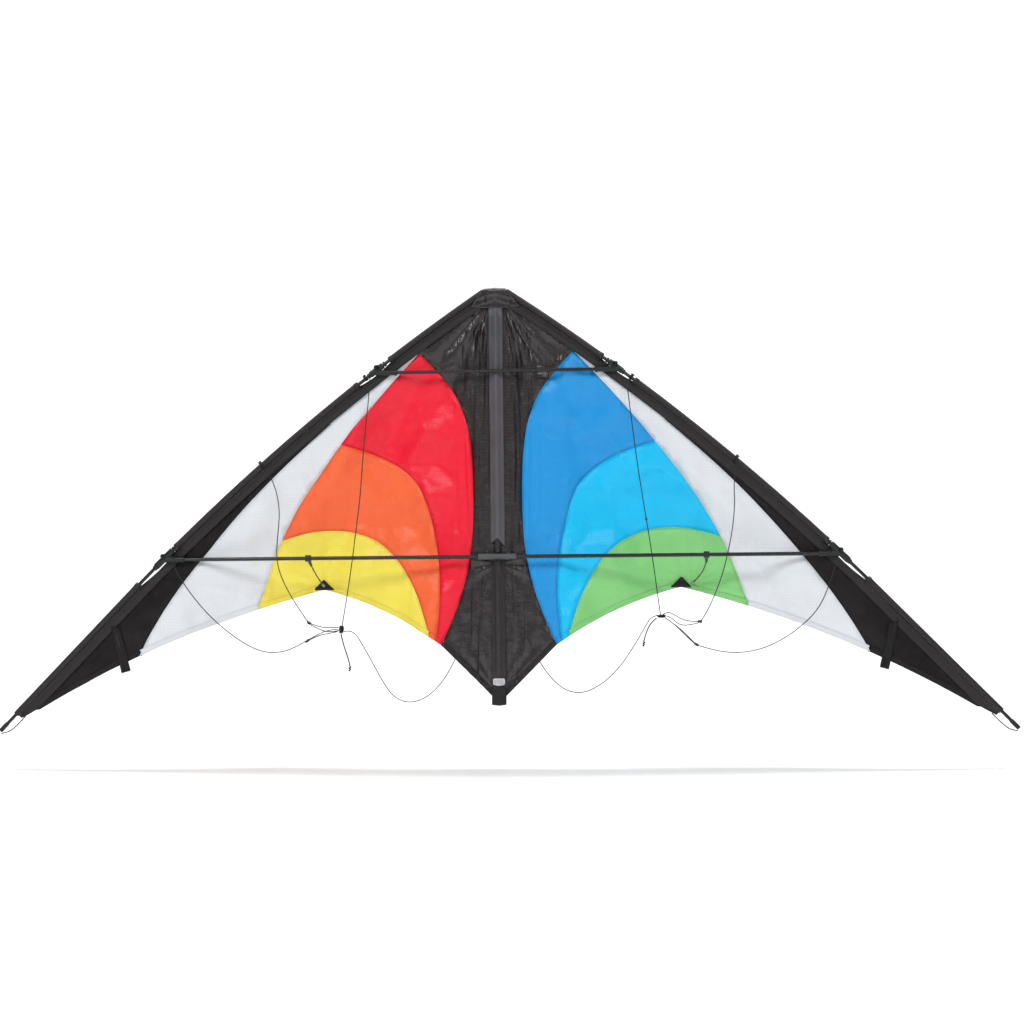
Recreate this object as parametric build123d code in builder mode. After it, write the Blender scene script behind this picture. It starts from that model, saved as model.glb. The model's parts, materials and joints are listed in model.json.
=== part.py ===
from build123d import *
from math import acos, cos, degrees, pi, radians, sin, tan
import os

# Two-line delta kite, millimetres. +Z towards the nose, +X along the wing span, and the
# bridle side faces -Y. The origin is the middle of the upper spreader, where a hook holds it.

# ---- driving dimensions ----
NOSE_Z = 129.0
TAIL_Z = -522.0
LOWER_SPREADER_Z = -290.0
SAIL_BILLOW = 60.0
SAIL_THICKNESS = 1.0
SEAM_GAP = 0.4

# Leading edge centre line: a long arc from the nose, then a straight run to the wing tip.
LE_START = (16.0, 125.0)
LE_START_SLOPE = 33.5
LE_RADIUS = 3540.0
LE_TURN = 12.0
LE_ARC = LE_RADIUS * radians(LE_TURN)
LE_LENGTH = 1042.0

SPAR_R = 2.75
SPAR_BORE_R = 1.7
SPIGOT_R = 1.6
SPIGOT_HALF = 28.0
SPAR_JOINT_S = 600.0
UPPER_SPREADER_R = 2.75
LOWER_SPREADER_R = 3.0
SPINE_R = 3.0
SPINE_Y = 7.5
SPINE_TOP_Z = 117.0
SPINE_LOW_Z = -514.0
FIT = 0.06

SLEEVE_R = 4.5
SLEEVE_BORE_R = 3.6
BAND_WIDTH = 20.5
BAND_Y = 5.8
BAND_HALF = 0.6
SLEEVE_END_S = 1011.0
CUTOUTS = ((184, 248), (630, 720))

STRIP_WIDTH = 22.0
STRIP_TOP_Z = 105.0
STRIP_LOW_Z = -490.0
STRIP_Y = SPINE_Y + 2.9

UPPER_ARM_END = 155.0
LOWER_ARM_END = 497.0
ARM_WALL = 1.4
SOCKET_DEPTH = 24.0

TEE_HALF = 30.0
TEE_R = 4.9
SADDLE_R = 4.1
SADDLE_HEIGHT = 24.0

STANDOFF_CLIP_X = {"left": -299.0, "right": 325.0}
STANDOFF_FOOT_X = {"left": -285.0, "right": 302.0}
STANDOFF_FOOT_Z = -335.0
STANDOFF_BOW = {"left": -2.0, "right": 7.0}

LINE_D = 1.5
LEADER_D = 2.0
TENSION_CORD_D = 1.8

SIDES = {"left": -1, "right": 1}

os.makedirs("parts", exist_ok=True)


# ---- shared geometry ----
def le_point(s):
    """Centre of the right leading edge at distance s from its nose end, and its slope."""
    slope = LE_START_SLOPE + min(s, LE_ARC) / LE_ARC * LE_TURN
    x = LE_START[0] + LE_RADIUS * (sin(radians(slope)) - sin(radians(LE_START_SLOPE)))
    z = LE_START[1] - LE_RADIUS * (cos(radians(LE_START_SLOPE)) - cos(radians(slope)))
    rest = max(s - LE_ARC, 0.0)
    return x + rest * cos(radians(slope)), z - rest * sin(radians(slope)), slope


def le_half_width(z):
    """Distance from the spine to the right leading edge at height z."""
    drop = (LE_START[1] - z) / LE_RADIUS
    end_x, end_z, end_slope = le_point(LE_ARC)
    if z < end_z:
        return end_x + (end_z - z) / tan(radians(end_slope))
    cos_slope = cos(radians(LE_START_SLOPE)) - drop
    return LE_START[0] + LE_RADIUS * ((1 - cos_slope**2) ** 0.5 - sin(radians(LE_START_SLOPE)))


def le_station(z):
    """Distance along the leading edge's arc at height z."""
    cos_slope = cos(radians(LE_START_SLOPE)) - (LE_START[1] - z) / LE_RADIUS
    return (degrees(acos(cos_slope)) - LE_START_SLOPE) / LE_TURN * LE_ARC


def le_plane(s, side=1):
    """Plane across the leading edge: local x towards the sail, local y backwards."""
    x, z, slope = le_point(s)
    along = (side * cos(radians(slope)), 0, -sin(radians(slope)))
    inward = (-side * sin(radians(slope)), 0, -cos(radians(slope)))
    return Plane(origin=(side * x, 0, z), x_dir=inward, z_dir=along)


def le_path(s_from, s_to):
    """Line along the right leading edge, in the XZ plane."""
    x, z, slope = le_point(s_from)
    turn = (min(s_to, LE_ARC) - s_from) / LE_ARC * LE_TURN
    tangent = (cos(radians(slope)), -sin(radians(slope)))
    with BuildLine(Plane.XZ) as path:
        if turn > 0:
            arc = JernArc(start=(x, z), tangent=tangent, radius=LE_RADIUS, arc_size=-turn)
            if s_to > LE_ARC:
                Line(arc @ 1, le_point(s_to)[:2])
        else:
            Line((x, z), le_point(s_to)[:2])
    return path.line


UPPER_ARM_S = le_station(0.0)
LOWER_ARM_S = le_station(LOWER_SPREADER_Z)


def sail_y(x, z):
    """Depth of the sail's middle surface behind the leading edge plane."""
    share = min(abs(x) / le_half_width(z), 1.0)
    drop = min(max((NOSE_Z - z) / 480.0, 0.0), 1.0)
    at_spine = 6.5 * cos(pi / 2 * share) ** 2
    return BAND_Y + at_spine + SAIL_BILLOW * sin(pi / 2 * drop) ** 2 * sin(pi * share) ** 2


def sail_sheet(offset, thickness):
    """The whole sail's surface as a thin solid, offset towards the front."""
    heights = [NOSE_Z - 1 - row * 48.0 for row in range(15)]
    shares = [column / 14.0 for column in range(-14, 15)]
    rows = []
    for z in heights:
        half = le_half_width(z)
        rows.append([(share * half, sail_y(share * half, z) - offset, z) for share in shares])
    surface = Face.make_surface_from_array_of_points(rows, tol=0.05)
    with BuildPart() as sheet:
        thicken(surface, amount=thickness / 2, both=True)
    return sheet.part


def write(name, part):
    part.label = name
    export_step(part, f"parts/{name}.step")


def write_pair(name, right_part):
    """Write the right piece and its mirror image."""
    with BuildPart() as left:
        mirror(right_part, about=Plane.YZ)
    write(f"left_{name}", left.part)
    write(f"right_{name}", right_part)


# ---- sail outlines, right side, in the XZ plane ----
TE_TAIL = (11.0, -509.0)
TE_BLACK = (91.0, -428.5)
TE_STANDOFF = (285.0, -341.0)
SLEEVE_END = [(735.5, -527), (761, -537), (775, -530), (820, -500), (820, -620), (735.5, -620)]
SEAM_CENTER = [(122, 31), (62.5, -42), (38.5, -172), (51, -323), (91, -428.5), (112, -470)]
SEAM_OUTER = [(116, 39), (176, -23), (269, -136), (359, -286), (387, -360), (398, -390)]
SEAM_TIP = [(262, -78), (366, -173), (468, -286), (550, -398), (598, -484)]
SEAM_CREST_HIGH = [(262, -108), (178, -136), (130, -173), (107, -232), (93, -330), (103, -450)]
SEAM_CREST_LOW = [(366, -269), (300, -249), (255, -247), (193, -267), (144, -323), (103, -440)]

with BuildSketch(Plane.XZ) as wing_outline:
    with BuildLine():
        edge = [le_plane(s) * Pos(BAND_WIDTH + SEAM_GAP, 0, 0) for s in (4, 390, LE_ARC, 975)]
        edge_points = [(place.position.X, place.position.Z) for place in edge]
        Line((0, edge_points[0][1]), edge_points[0])
        ThreePointArc(*edge_points[:3])
        Line(edge_points[2], edge_points[3])
        ThreePointArc(edge_points[-1], (480, -403), TE_STANDOFF)
        ThreePointArc(TE_STANDOFF, (195, -370.5), TE_BLACK)
        Polyline(TE_BLACK, TE_TAIL, (0, -509), (0, edge_points[0][1]))
    make_face()


def region(seam, corners):
    """Area between a seam curve and the corners beyond it."""
    with BuildSketch(Plane.XZ) as area:
        with BuildLine():
            Spline(*seam)
            Polyline(seam[-1], *corners, seam[0])
        make_face()
    return area.sketch


def seam_gap(seam):
    """Narrow strip that keeps two sewn panels apart."""
    with BuildSketch(Plane.XZ) as strip:
        with BuildLine():
            Spline(*seam)
        trace(line_width=SEAM_GAP)
    return strip.sketch


center_area = region(SEAM_CENTER, [(0, -560), (0, 160), (122, 160)])
lobe_area = region(SEAM_OUTER, [(60, -460), (0, -460), (0, 60)])
tip_area = region(SEAM_TIP, [(800, -600), (850, -78)])
crest_high_area = region(SEAM_CREST_HIGH, [(420, -450), (420, -108)])
crest_low_area = region(SEAM_CREST_LOW, [(420, -450), (420, -269)])
SEAM_GAPS = [seam_gap(seam) for seam in
             (SEAM_CENTER, SEAM_OUTER, SEAM_TIP, SEAM_CREST_HIGH, SEAM_CREST_LOW)]


def panel_outline(keep, remove):
    with BuildSketch(Plane.XZ) as outline:
        add(wing_outline.sketch)
        for area in keep:
            add(area, mode=Mode.INTERSECT)
        for area in remove + SEAM_GAPS:
            add(area, mode=Mode.SUBTRACT)
    return outline.sketch


def cut_from(sheet, outline):
    """The part of a thin sheet that lies inside an outline seen from the front."""
    with BuildPart() as piece:
        add(sheet)
        extrude(outline, amount=200, both=True, mode=Mode.INTERSECT)
    return piece.part


sail = sail_sheet(0.0, SAIL_THICKNESS)

# ---- centre panel: both halves of the black middle in one piece ----
with BuildSketch(Plane.XZ) as center_outline:
    add(wing_outline.sketch)
    add(center_area, mode=Mode.INTERSECT)
    add(SEAM_GAPS[0], mode=Mode.SUBTRACT)
    mirror(about=Plane.YZ)
write("center_panel", cut_from(sail, center_outline.sketch))

# ---- coloured, white and tip panels, named by colour on each side ----
red = panel_outline([lobe_area], [center_area, crest_high_area])
orange = panel_outline([lobe_area, crest_high_area], [center_area, crest_low_area])
yellow = panel_outline([lobe_area, crest_low_area], [center_area])
white = panel_outline([], [center_area, lobe_area, tip_area])
tip = panel_outline([tip_area], [])
PANEL_NAMES = {
    "left": ["red", "orange", "yellow", "white", "black_tip"],
    "right": ["blue", "cyan", "green", "white", "black_tip"],
}
for side, names in PANEL_NAMES.items():
    for name, outline in zip(names, [red, orange, yellow, white, tip]):
        if side == "left":
            outline = mirror(outline, about=Plane.YZ)
        write(f"{side}_{name}_panel", cut_from(sail, outline))

# ---- leading edge sleeve: a fabric tube with a flat band sewn to the sail ----
with BuildPart() as le_sleeve:
    with BuildSketch(le_plane(1)):
        Circle(SLEEVE_R)
        Polygon((-1.5, 4.2), (3, 3.2), (8, BAND_Y - BAND_HALF), (BAND_WIDTH, BAND_Y - BAND_HALF),
                (BAND_WIDTH, BAND_Y + BAND_HALF), (3, BAND_Y + BAND_HALF), align=None)
        Circle(SLEEVE_BORE_R, mode=Mode.SUBTRACT)
    sweep(path=le_path(1, SLEEVE_END_S))
    for cut_from_s, cut_to_s in CUTOUTS:
        with BuildSketch(le_plane((cut_from_s + cut_to_s) / 2)):
            Rectangle(13.0, 20.0)
        extrude(amount=(cut_to_s - cut_from_s) / 2, both=True, mode=Mode.SUBTRACT)
    with BuildSketch(Plane.XY.offset(NOSE_Z)):
        Rectangle(80, 40)
    extrude(amount=20, mode=Mode.SUBTRACT)
    with BuildSketch(Plane.XZ):
        Polygon(*SLEEVE_END, align=None)
    extrude(amount=20, both=True, mode=Mode.SUBTRACT)
write_pair("leading_edge_sleeve", le_sleeve.part)

# ---- nose patch: heavy cloth folded over the nose, open below ----
NOSE_LOW_Z = 99.0
NOSE_FRONT_Y = -6.4
NOSE_DEPTH = 21.0
NOSE_WALL = 1.2
with BuildPart() as nose_patch:
    with BuildSketch(Plane.XZ.offset(-NOSE_FRONT_Y)):
        Polygon((-16, NOSE_Z), (16, NOSE_Z), (40, NOSE_LOW_Z), (-40, NOSE_LOW_Z), align=None)
    extrude(amount=-NOSE_DEPTH)
    with BuildSketch(Plane.XY.offset(NOSE_LOW_Z)):
        with Locations((0, NOSE_FRONT_Y + NOSE_DEPTH / 2)):
            Rectangle(120, NOSE_DEPTH - 2 * NOSE_WALL)
    extrude(amount=NOSE_Z - NOSE_WALL - NOSE_LOW_Z, mode=Mode.SUBTRACT)
write("nose_patch", nose_patch.part)

# ---- spine sleeve: a strip down the front of the sail that holds the spine ----
with BuildPart() as spine_sleeve:
    with BuildSketch(Plane.XY.offset(STRIP_LOW_Z)):
        with Locations((0, SPINE_Y)):
            Circle(SPINE_R + 1.0)
        with Locations((0, STRIP_Y)):
            Rectangle(STRIP_WIDTH, 0.8)
        with Locations((0, SPINE_Y)):
            Circle(SPINE_R + 0.2, mode=Mode.SUBTRACT)
    extrude(amount=STRIP_TOP_Z - STRIP_LOW_Z)
    with Locations((0, SPINE_Y, LOWER_SPREADER_Z)):
        Box(STRIP_WIDTH + 8, 12, SADDLE_HEIGHT + 4, mode=Mode.SUBTRACT)
write("spine_sleeve", spine_sleeve.part)

# ---- tail tab: webbing folded round the foot of the spine ----
TAB_TOP_Z = -492.0
TAB_WALL = 1.2
TAB_HALF_DEPTH = 6.2
TAB_MIDDLE_Y = SPINE_Y + 0.9
with BuildPart() as tail_tab:
    with BuildSketch(Plane.YZ):
        with Locations((TAB_MIDDLE_Y, (TAB_TOP_Z + TAIL_Z) / 2)):
            Rectangle(2 * TAB_HALF_DEPTH, TAB_TOP_Z - TAIL_Z)
        with Locations((TAB_MIDDLE_Y, (TAB_TOP_Z + TAIL_Z) / 2 + TAB_WALL)):
            Rectangle(2 * (TAB_HALF_DEPTH - TAB_WALL), TAB_TOP_Z - TAIL_Z, mode=Mode.SUBTRACT)
    extrude(amount=STRIP_WIDTH / 2, both=True)
write("tail_tab", tail_tab.part)

# ---- trim sewn on the front of the sail, one piece on each wing ----
def write_trim(name, offset, thickness, corners):
    """Write a pair of patches with these corners, that far in front of the sail."""
    with BuildSketch(Plane.XZ) as outline:
        Polygon(*corners, align=None)
        mirror(about=Plane.YZ)
    write(name, cut_from(sail_sheet(offset, thickness), outline.sketch))


write_trim("standoff_patches", 1.35, 1.0, [(270.5, -341), (299.5, -341), (285.5, -325)])
write_trim("tip_battens", 1.8, 1.6, [(610, -402), (611.6, -402), (597.6, -464), (596, -464)])
write_trim("batten_pockets", 3.2, 0.8, [(604, -398), (618, -394), (603, -470), (589, -466)])

with BuildPart() as blank_label:
    with BuildSketch(Plane.XZ.offset(5.6 - SPINE_Y)):
        with Locations((0, -487.5)):
            RectangleRounded(19, 12, 2)
    extrude(amount=0.6)
write("blank_label", blank_label.part)


# ---- rods ----
def le_rod(s_from, s_to, radius, bores=()):
    with BuildPart() as rod:
        with BuildSketch(le_plane(s_from)):
            Circle(radius)
        sweep(path=le_path(s_from, s_to))
        for bore_from, bore_to in bores:
            with BuildSketch(le_plane(bore_from)):
                Circle(SPAR_BORE_R)
            sweep(path=le_path(bore_from, bore_to), mode=Mode.SUBTRACT)
    return rod.part


joint_from = SPAR_JOINT_S - SPIGOT_HALF - 1
joint_to = SPAR_JOINT_S + SPIGOT_HALF + 1
write_pair("upper_spar", le_rod(8, SPAR_JOINT_S, SPAR_R, [(joint_from, SPAR_JOINT_S)]))
write_pair("lower_spar", le_rod(SPAR_JOINT_S + 0.1, 1036, SPAR_R, [(SPAR_JOINT_S + 0.1, joint_to)]))

with BuildPart() as spigots:
    add(le_rod(SPAR_JOINT_S - SPIGOT_HALF, SPAR_JOINT_S + SPIGOT_HALF, SPIGOT_R))
    mirror(about=Plane.YZ)
write("spar_ferrules", spigots.part)

with BuildPart() as spine:
    with BuildSketch(Plane.XY.offset(SPINE_LOW_Z)):
        with Locations((0, SPINE_Y)):
            Circle(SPINE_R)
    extrude(amount=SPINE_TOP_Z - SPINE_LOW_Z)
write("spine_spar", spine.part)

with BuildPart() as upper_spreader:
    with BuildSketch(Plane.YZ):
        Circle(UPPER_SPREADER_R)
    extrude(amount=UPPER_ARM_END + SOCKET_DEPTH, both=True)
write("upper_spreader", upper_spreader.part)

SPREADER_START_X = 5.0
with BuildPart() as lower_spreader:
    with BuildSketch(Plane.YZ.offset(SPREADER_START_X)):
        with Locations((0, LOWER_SPREADER_Z)):
            Circle(LOWER_SPREADER_R)
    extrude(amount=LOWER_ARM_END + SOCKET_DEPTH - SPREADER_START_X)
write_pair("lower_spreader", lower_spreader.part)

# ---- centre tee: holds both lower spreaders across the spine ----
with BuildPart() as center_tee:
    with BuildSketch(Plane.YZ):
        with Locations((0, LOWER_SPREADER_Z)):
            Circle(TEE_R)
    extrude(amount=TEE_HALF, both=True)
    chamfer(center_tee.edges().filter_by(GeomType.CIRCLE), 0.8)
    with BuildSketch(Plane.XY.offset(LOWER_SPREADER_Z)):
        with Locations((0, SPINE_Y)):
            Circle(SADDLE_R)
    extrude(amount=SADDLE_HEIGHT / 2, both=True)
    with BuildSketch(Plane.XY.offset(LOWER_SPREADER_Z)):
        with Locations((0, SPINE_Y / 2)):
            Rectangle(6.4, SPINE_Y)
    extrude(amount=TEE_R, both=True)
    for end in (-1, 1):
        with BuildSketch(Plane.YZ.offset(end * TEE_HALF)):
            with Locations((0, LOWER_SPREADER_Z)):
                Circle(LOWER_SPREADER_R + FIT)
        extrude(amount=-end * (TEE_HALF - SPREADER_START_X + 0.5), mode=Mode.SUBTRACT)
    with BuildSketch(Plane.XY.offset(LOWER_SPREADER_Z)):
        with Locations((0, SPINE_Y)):
            Circle(SPINE_R + FIT)
    extrude(amount=SADDLE_HEIGHT, both=True, mode=Mode.SUBTRACT)
write("center_tee", center_tee.part)


# ---- leading edge fittings: a collar on the spar with a socket arm for the spreader ----
def le_fitting(arm_s, above, below, collar_r, arm_end, rod_r, eye_r, eye_above):
    """Right fitting: the arm meets the spar at arm_s, and the eye stands outside the collar."""
    axis_x, axis_z, slope = le_point(arm_s)
    eye_plane = le_plane(arm_s - eye_above).rotated((90, 0, 0))
    eye_out = -collar_r - eye_r * 0.45
    collar_top = (axis_x - above * 0.9 * cos(radians(slope)), axis_z + above * 0.9 * sin(radians(slope)))
    with BuildPart() as fitting:
        with BuildSketch(le_plane(arm_s - above)):
            Circle(collar_r)
        extrude(amount=above + below)
        chamfer(fitting.edges().filter_by(GeomType.CIRCLE), 0.7)
        for reach, radius in ((axis_x - arm_end, rod_r + ARM_WALL), (4.0, rod_r + ARM_WALL + 0.6)):
            with BuildSketch(Plane.YZ.offset(arm_end)):
                with Locations((0, axis_z)):
                    Circle(radius)
            extrude(amount=reach)
        with BuildSketch(Plane.XZ):
            Polygon((axis_x, axis_z), collar_top, (axis_x - above * 0.65, axis_z), align=None)
        extrude(amount=rod_r, both=True)
        with BuildSketch(eye_plane):
            with Locations((eye_out, 0)):
                Circle(eye_r)
        extrude(amount=2.4, both=True)
        with BuildSketch(eye_plane):
            with Locations((eye_out, 0)):
                Circle(eye_r * 0.4)
        extrude(amount=4.0, both=True, mode=Mode.SUBTRACT)
        with BuildSketch(le_plane(arm_s - 60)):
            Circle(SPAR_R + FIT)
        sweep(path=le_path(arm_s - 60, arm_s + 60), mode=Mode.SUBTRACT)
        with BuildSketch(Plane.YZ.offset(arm_end)):
            with Locations((0, axis_z)):
                Circle(rod_r + FIT)
        extrude(amount=SOCKET_DEPTH + 1, mode=Mode.SUBTRACT)
    return fitting.part


upper_fitting = le_fitting(UPPER_ARM_S, above=20, below=6, collar_r=4.9, arm_end=UPPER_ARM_END,
                           rod_r=UPPER_SPREADER_R, eye_r=4.2, eye_above=13)
write_pair("upper_fitting", upper_fitting)
lower_fitting = le_fitting(LOWER_ARM_S, above=22, below=16, collar_r=5.2, arm_end=LOWER_ARM_END,
                           rod_r=LOWER_SPREADER_R, eye_r=3.8, eye_above=8)
write_pair("lower_fitting", lower_fitting)

# ---- rubber stop rings each side of the fittings ----
STOP_LENGTH = 3.5
with BuildPart() as stops:
    for stop_s in (UPPER_ARM_S - 24.5, UPPER_ARM_S + 6.5, LOWER_ARM_S - 26.5, LOWER_ARM_S + 16.5):
        with BuildSketch(le_plane(stop_s)):
            Circle(4.2)
            Circle(SPAR_R + FIT, mode=Mode.SUBTRACT)
        extrude(amount=STOP_LENGTH)
    mirror(about=Plane.YZ)
write("spar_stops", stops.part)

# ---- rod end caps: both ends of the spine and the nose ends of the leading edge ----
with BuildPart() as caps:
    for cap_z, cap_height in ((SPINE_LOW_Z - 3, 12), (SPINE_TOP_Z - 11, 13)):
        with BuildSketch(Plane.XY.offset(cap_z)):
            with Locations((0, SPINE_Y)):
                Circle(3.8)
        extrude(amount=cap_height)
    with BuildSketch(Plane.XY.offset(SPINE_LOW_Z)):
        with Locations((0, SPINE_Y)):
            Circle(SPINE_R + FIT)
    extrude(amount=SPINE_TOP_Z - SPINE_LOW_Z, mode=Mode.SUBTRACT)
    for side in SIDES.values():
        with BuildSketch(le_plane(5.5, side)):
            Circle(3.4)
        extrude(amount=10)
        with BuildSketch(le_plane(7.9, side)):
            Circle(SPAR_R + FIT)
        extrude(amount=20, mode=Mode.SUBTRACT)
write("spar_end_caps", caps.part)

# ---- wing tip nock: blind cap with a slot for the sail's tension cord ----
NOCK_FROM = 1025.0
with BuildPart() as nock:
    with BuildSketch(le_plane(NOCK_FROM)):
        Circle(3.5)
    extrude(amount=LE_LENGTH - NOCK_FROM)
    chamfer(nock.edges().filter_by(GeomType.CIRCLE), 0.5)
    with BuildSketch(le_plane(NOCK_FROM - 1)):
        Circle(SPAR_R + FIT)
    extrude(amount=1036.1 - NOCK_FROM + 1, mode=Mode.SUBTRACT)
    with BuildSketch(le_plane(LE_LENGTH - 4)):
        Rectangle(12, 2.1)
    extrude(amount=6, mode=Mode.SUBTRACT)
write_pair("tip_nock", nock.part)


# ---- cords ----
def arc_radii(points):
    """Each corner's arc: 0.45 of its shorter run over the tangent of half its turn."""
    radii = []
    for before, corner, after in zip(points, points[1:], points[2:]):
        run_in = Vector(corner) - Vector(before)
        run_out = Vector(after) - Vector(corner)
        half_turn = radians(run_in.get_angle(run_out)) / 2
        radii.append(0.45 * min(run_in.length, run_out.length) / tan(half_turn))
    return radii


def cord(name, diameter, *routes):
    """Round cord along one or more routes, each of straight runs joined by arcs."""
    expected = 0.0
    with BuildPart() as tube:
        for points in routes:
            radii = arc_radii(points)
            runs = [(Vector(b) - Vector(a)).length for a, b in zip(points, points[1:])]
            with BuildLine() as route:
                FilletPolyline(*points, radius=radii)
            with BuildSketch(Plane(origin=route.line @ 0, z_dir=route.line % 0)):
                Circle(diameter / 2)
            sweep(path=route.line)
            length = route.wires()[0].length
            expected += pi * diameter**2 / 4 * length
            print(f"{name}: length {length:.0f}, smallest radius {min(radii):.1f}, "
                  f"runs {min(runs):.0f} to {max(runs):.0f}")
    print(f"   section x length {expected:.0f}, solid volume {tube.part.volume:.0f}")
    return tube.part


# Each leg runs from its tie on the frame to the tow point, as a list of points.
UPPER_LEG = {
    "left": [(-197, -7, -9), (-199, -8, -40), (-205, -8, -90), (-210, -8, -143), (-214, -9, -195),
             (-221, -10, -247), (-228, -11, -300), (-236, -12, -352), (-244, -14, -397)],
    "right": [(204, -7, -18), (209, -8, -60), (215, -8, -112), (222, -8, -165), (230, -9, -218),
              (238, -10, -268), (244, -11, -312), (249, -12.5, -351), (253, -14, -382)],
}
MID_LEG = {
    "left": [(-368, -6, -141), (-361, -7, -152), (-354, -7, -166), (-346, -7, -188), (-342, -8, -218),
             (-345, -9, -250), (-348, -10, -284), (-343, -11, -312), (-329, -12, -342),
             (-310, -13, -372), (-298, -14, -389)],
    "right": [(373, -6, -144), (370, -7, -160), (368, -7, -183), (369, -8, -212), (366, -9, -246),
              (359, -10, -282), (350, -11, -318), (336, -12, -355), (322, -13, -383), (316, -14, -391)],
}
MID_STRANDS = {
    "left": [[(-294, -14, -392), (-281, -15, -397), (-265, -16, -399), (-249, -15, -398)],
             [(-294, -13, -394), (-283, -12, -400), (-270, -11, -405), (-257, -11, -405),
              (-249, -13, -403)]],
    "right": [[(312, -15, -393), (300, -16, -393), (285, -17, -389), (271, -17, -380), (263, -16, -378),
               (257, -16, -382)],
              [(312, -13, -395), (300, -12, -398), (288, -11, -399), (279, -11, -396),
               (270, -11, -387), (262, -12, -384)]],
}
OUTER_LEG = {
    "left": [(-514, -6, -297), (-507, -8, -311), (-493, -9, -333), (-474, -10, -358), (-451, -11, -383),
             (-424, -12, -406), (-396, -13, -425), (-368, -14, -437), (-340, -14, -437),
             (-318, -14, -429), (-302, -14, -420)],
    "right": [(526, -6, -297), (521, -8, -312), (512, -9, -337), (503, -10, -360), (490, -11, -381),
              (467, -12, -403), (436, -13, -424), (402, -14, -438), (368, -14, -442),
              (336, -14, -438), (311, -14, -430)],
}
OUTER_STRANDS = {
    "left": [[(-296, -14, -418), (-281, -14, -410.5), (-266, -13, -408), (-251, -14, -405)],
             [(-296, -16, -417), (-280, -18, -408), (-264, -18, -402), (-250, -17, -401)]],
    "right": [[(305, -16, -427), (290, -18, -413), (276, -19, -398), (262, -17, -388)],
              [(305, -13, -426), (289, -12, -409), (273, -10, -396), (260, -13, -387)]],
}
INNER_LEG = {
    "left": [(-3, -7, -302), (-12, -8, -322), (-30, -8, -358), (-45, -8, -392), (-57, -9, -424),
             (-69, -10, -455), (-87, -11, -485), (-110, -12, -508), (-138, -12, -518),
             (-163, -12, -509), (-180, -12, -485), (-196, -12, -455), (-213, -13, -424),
             (-223, -13, -408), (-234, -14, -403), (-241, -14, -405)],
    "right": [(3, -7, -302), (11, -8, -322), (23, -8, -356), (37, -8, -396), (55, -9, -436),
              (76, -10, -472), (102, -11, -498), (131, -12, -504), (161, -12, -490), (187, -12, -466),
              (207, -12, -438), (224, -12, -410), (234, -13, -392), (241, -13.5, -384.5),
              (250, -14, -383)],
}
TOW_LEADER = {
    "left": [(-245.7, -14, -408.5), (-242.5, -14, -423), (-238, -14, -437), (-234, -14, -449),
             (-232, -14, -459)],
    "right": [(247.2, -14, -387.2), (241, -14, -392), (234.5, -14, -401), (230, -14, -412),
              (227, -14, -423)],
}
TENSION_CORD = [(757, 1, -537), (766, 1, -546), (776, 0, -556), (786, 0, -562.5), (796.5, 0, -564)]

for side in SIDES:
    write(f"{side}_upper_bridle_leg", cord(f"{side} upper leg", LINE_D, UPPER_LEG[side]))
    write(f"{side}_middle_bridle_leg",
          cord(f"{side} middle leg", LINE_D, MID_LEG[side], *MID_STRANDS[side]))
    write(f"{side}_outer_bridle_leg",
          cord(f"{side} outer leg", LINE_D, OUTER_LEG[side], *OUTER_STRANDS[side]))
    write(f"{side}_inner_bridle_leg", cord(f"{side} inner leg", LINE_D, INNER_LEG[side]))
    write(f"{side}_tow_leader", cord(f"{side} tow leader", LEADER_D, TOW_LEADER[side]))
write_pair("tip_tension_cord", cord("tension cord", TENSION_CORD_D, TENSION_CORD))


# ---- knots: small round-ended lumps, and lashings round the rods ----
def knot(center, direction, length, radius):
    plane = Plane(origin=center, z_dir=direction)
    with BuildPart() as lump:
        with BuildSketch(plane.offset(-length / 2)):
            Circle(radius)
        extrude(amount=length)
        fillet(lump.edges().filter_by(GeomType.CIRCLE), radius * 0.7)
    return lump.part


KNOTS = {
    "left": [((-245, -14, -401.5), (0.1, 0, 1), 13, 2.9), ((-296, -14, -391), (1, 0, -0.7), 6, 2.1),
             ((-299, -14.5, -419), (1, 0, 0.6), 7, 2.1)],
    "right": [((255, -14, -384.5), (1, 0, 0), 14, 2.6), ((314, -14, -393), (1, 0, -0.2), 6, 2.1),
              ((308, -14.5, -428.5), (1, 0, -0.6), 7, 2.1)],
}
UPPER_LASH_S = {"left": 229.5, "right": 238.0}
for side, sign in SIDES.items():
    with BuildPart() as knots:
        for center, direction, length, radius in KNOTS[side]:
            add(knot(center, direction, length, radius))
        with BuildSketch(le_plane(UPPER_LASH_S[side], sign)):
            Circle(4.4)
            Circle(SPAR_R + FIT, mode=Mode.SUBTRACT)
        extrude(amount=3)
        with BuildSketch(le_plane(443, sign)):
            Circle(6.3)
            Circle(SLEEVE_R + 0.2, mode=Mode.SUBTRACT)
            with Locations((8.5, sign * 6.2)):
                Rectangle(23, 7.4, mode=Mode.SUBTRACT)
        extrude(amount=3)
        with BuildSketch(Plane.YZ.offset(sign * 514)):
            with Locations((0, LOWER_SPREADER_Z)):
                Circle(6.2)
                Circle(4.5, mode=Mode.SUBTRACT)
            with Locations((5.9, LOWER_SPREADER_Z)):
                Rectangle(2, 14, mode=Mode.SUBTRACT)
        extrude(amount=1.5, both=True)
        add(knot((sign * 2.8, -6.6, LOWER_SPREADER_Z - 8), (0, 0.5, 1), 6, 2.0))
    write(f"{side}_bridle_knots", knots.part)
    tip_point = TOW_LEADER[side][-1]
    end_knot = knot((tip_point[0], tip_point[1], tip_point[2] - 3.5), (0.15, 0, 1), 9, 2.3)
    write(f"{side}_leader_knot", end_knot)

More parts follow.
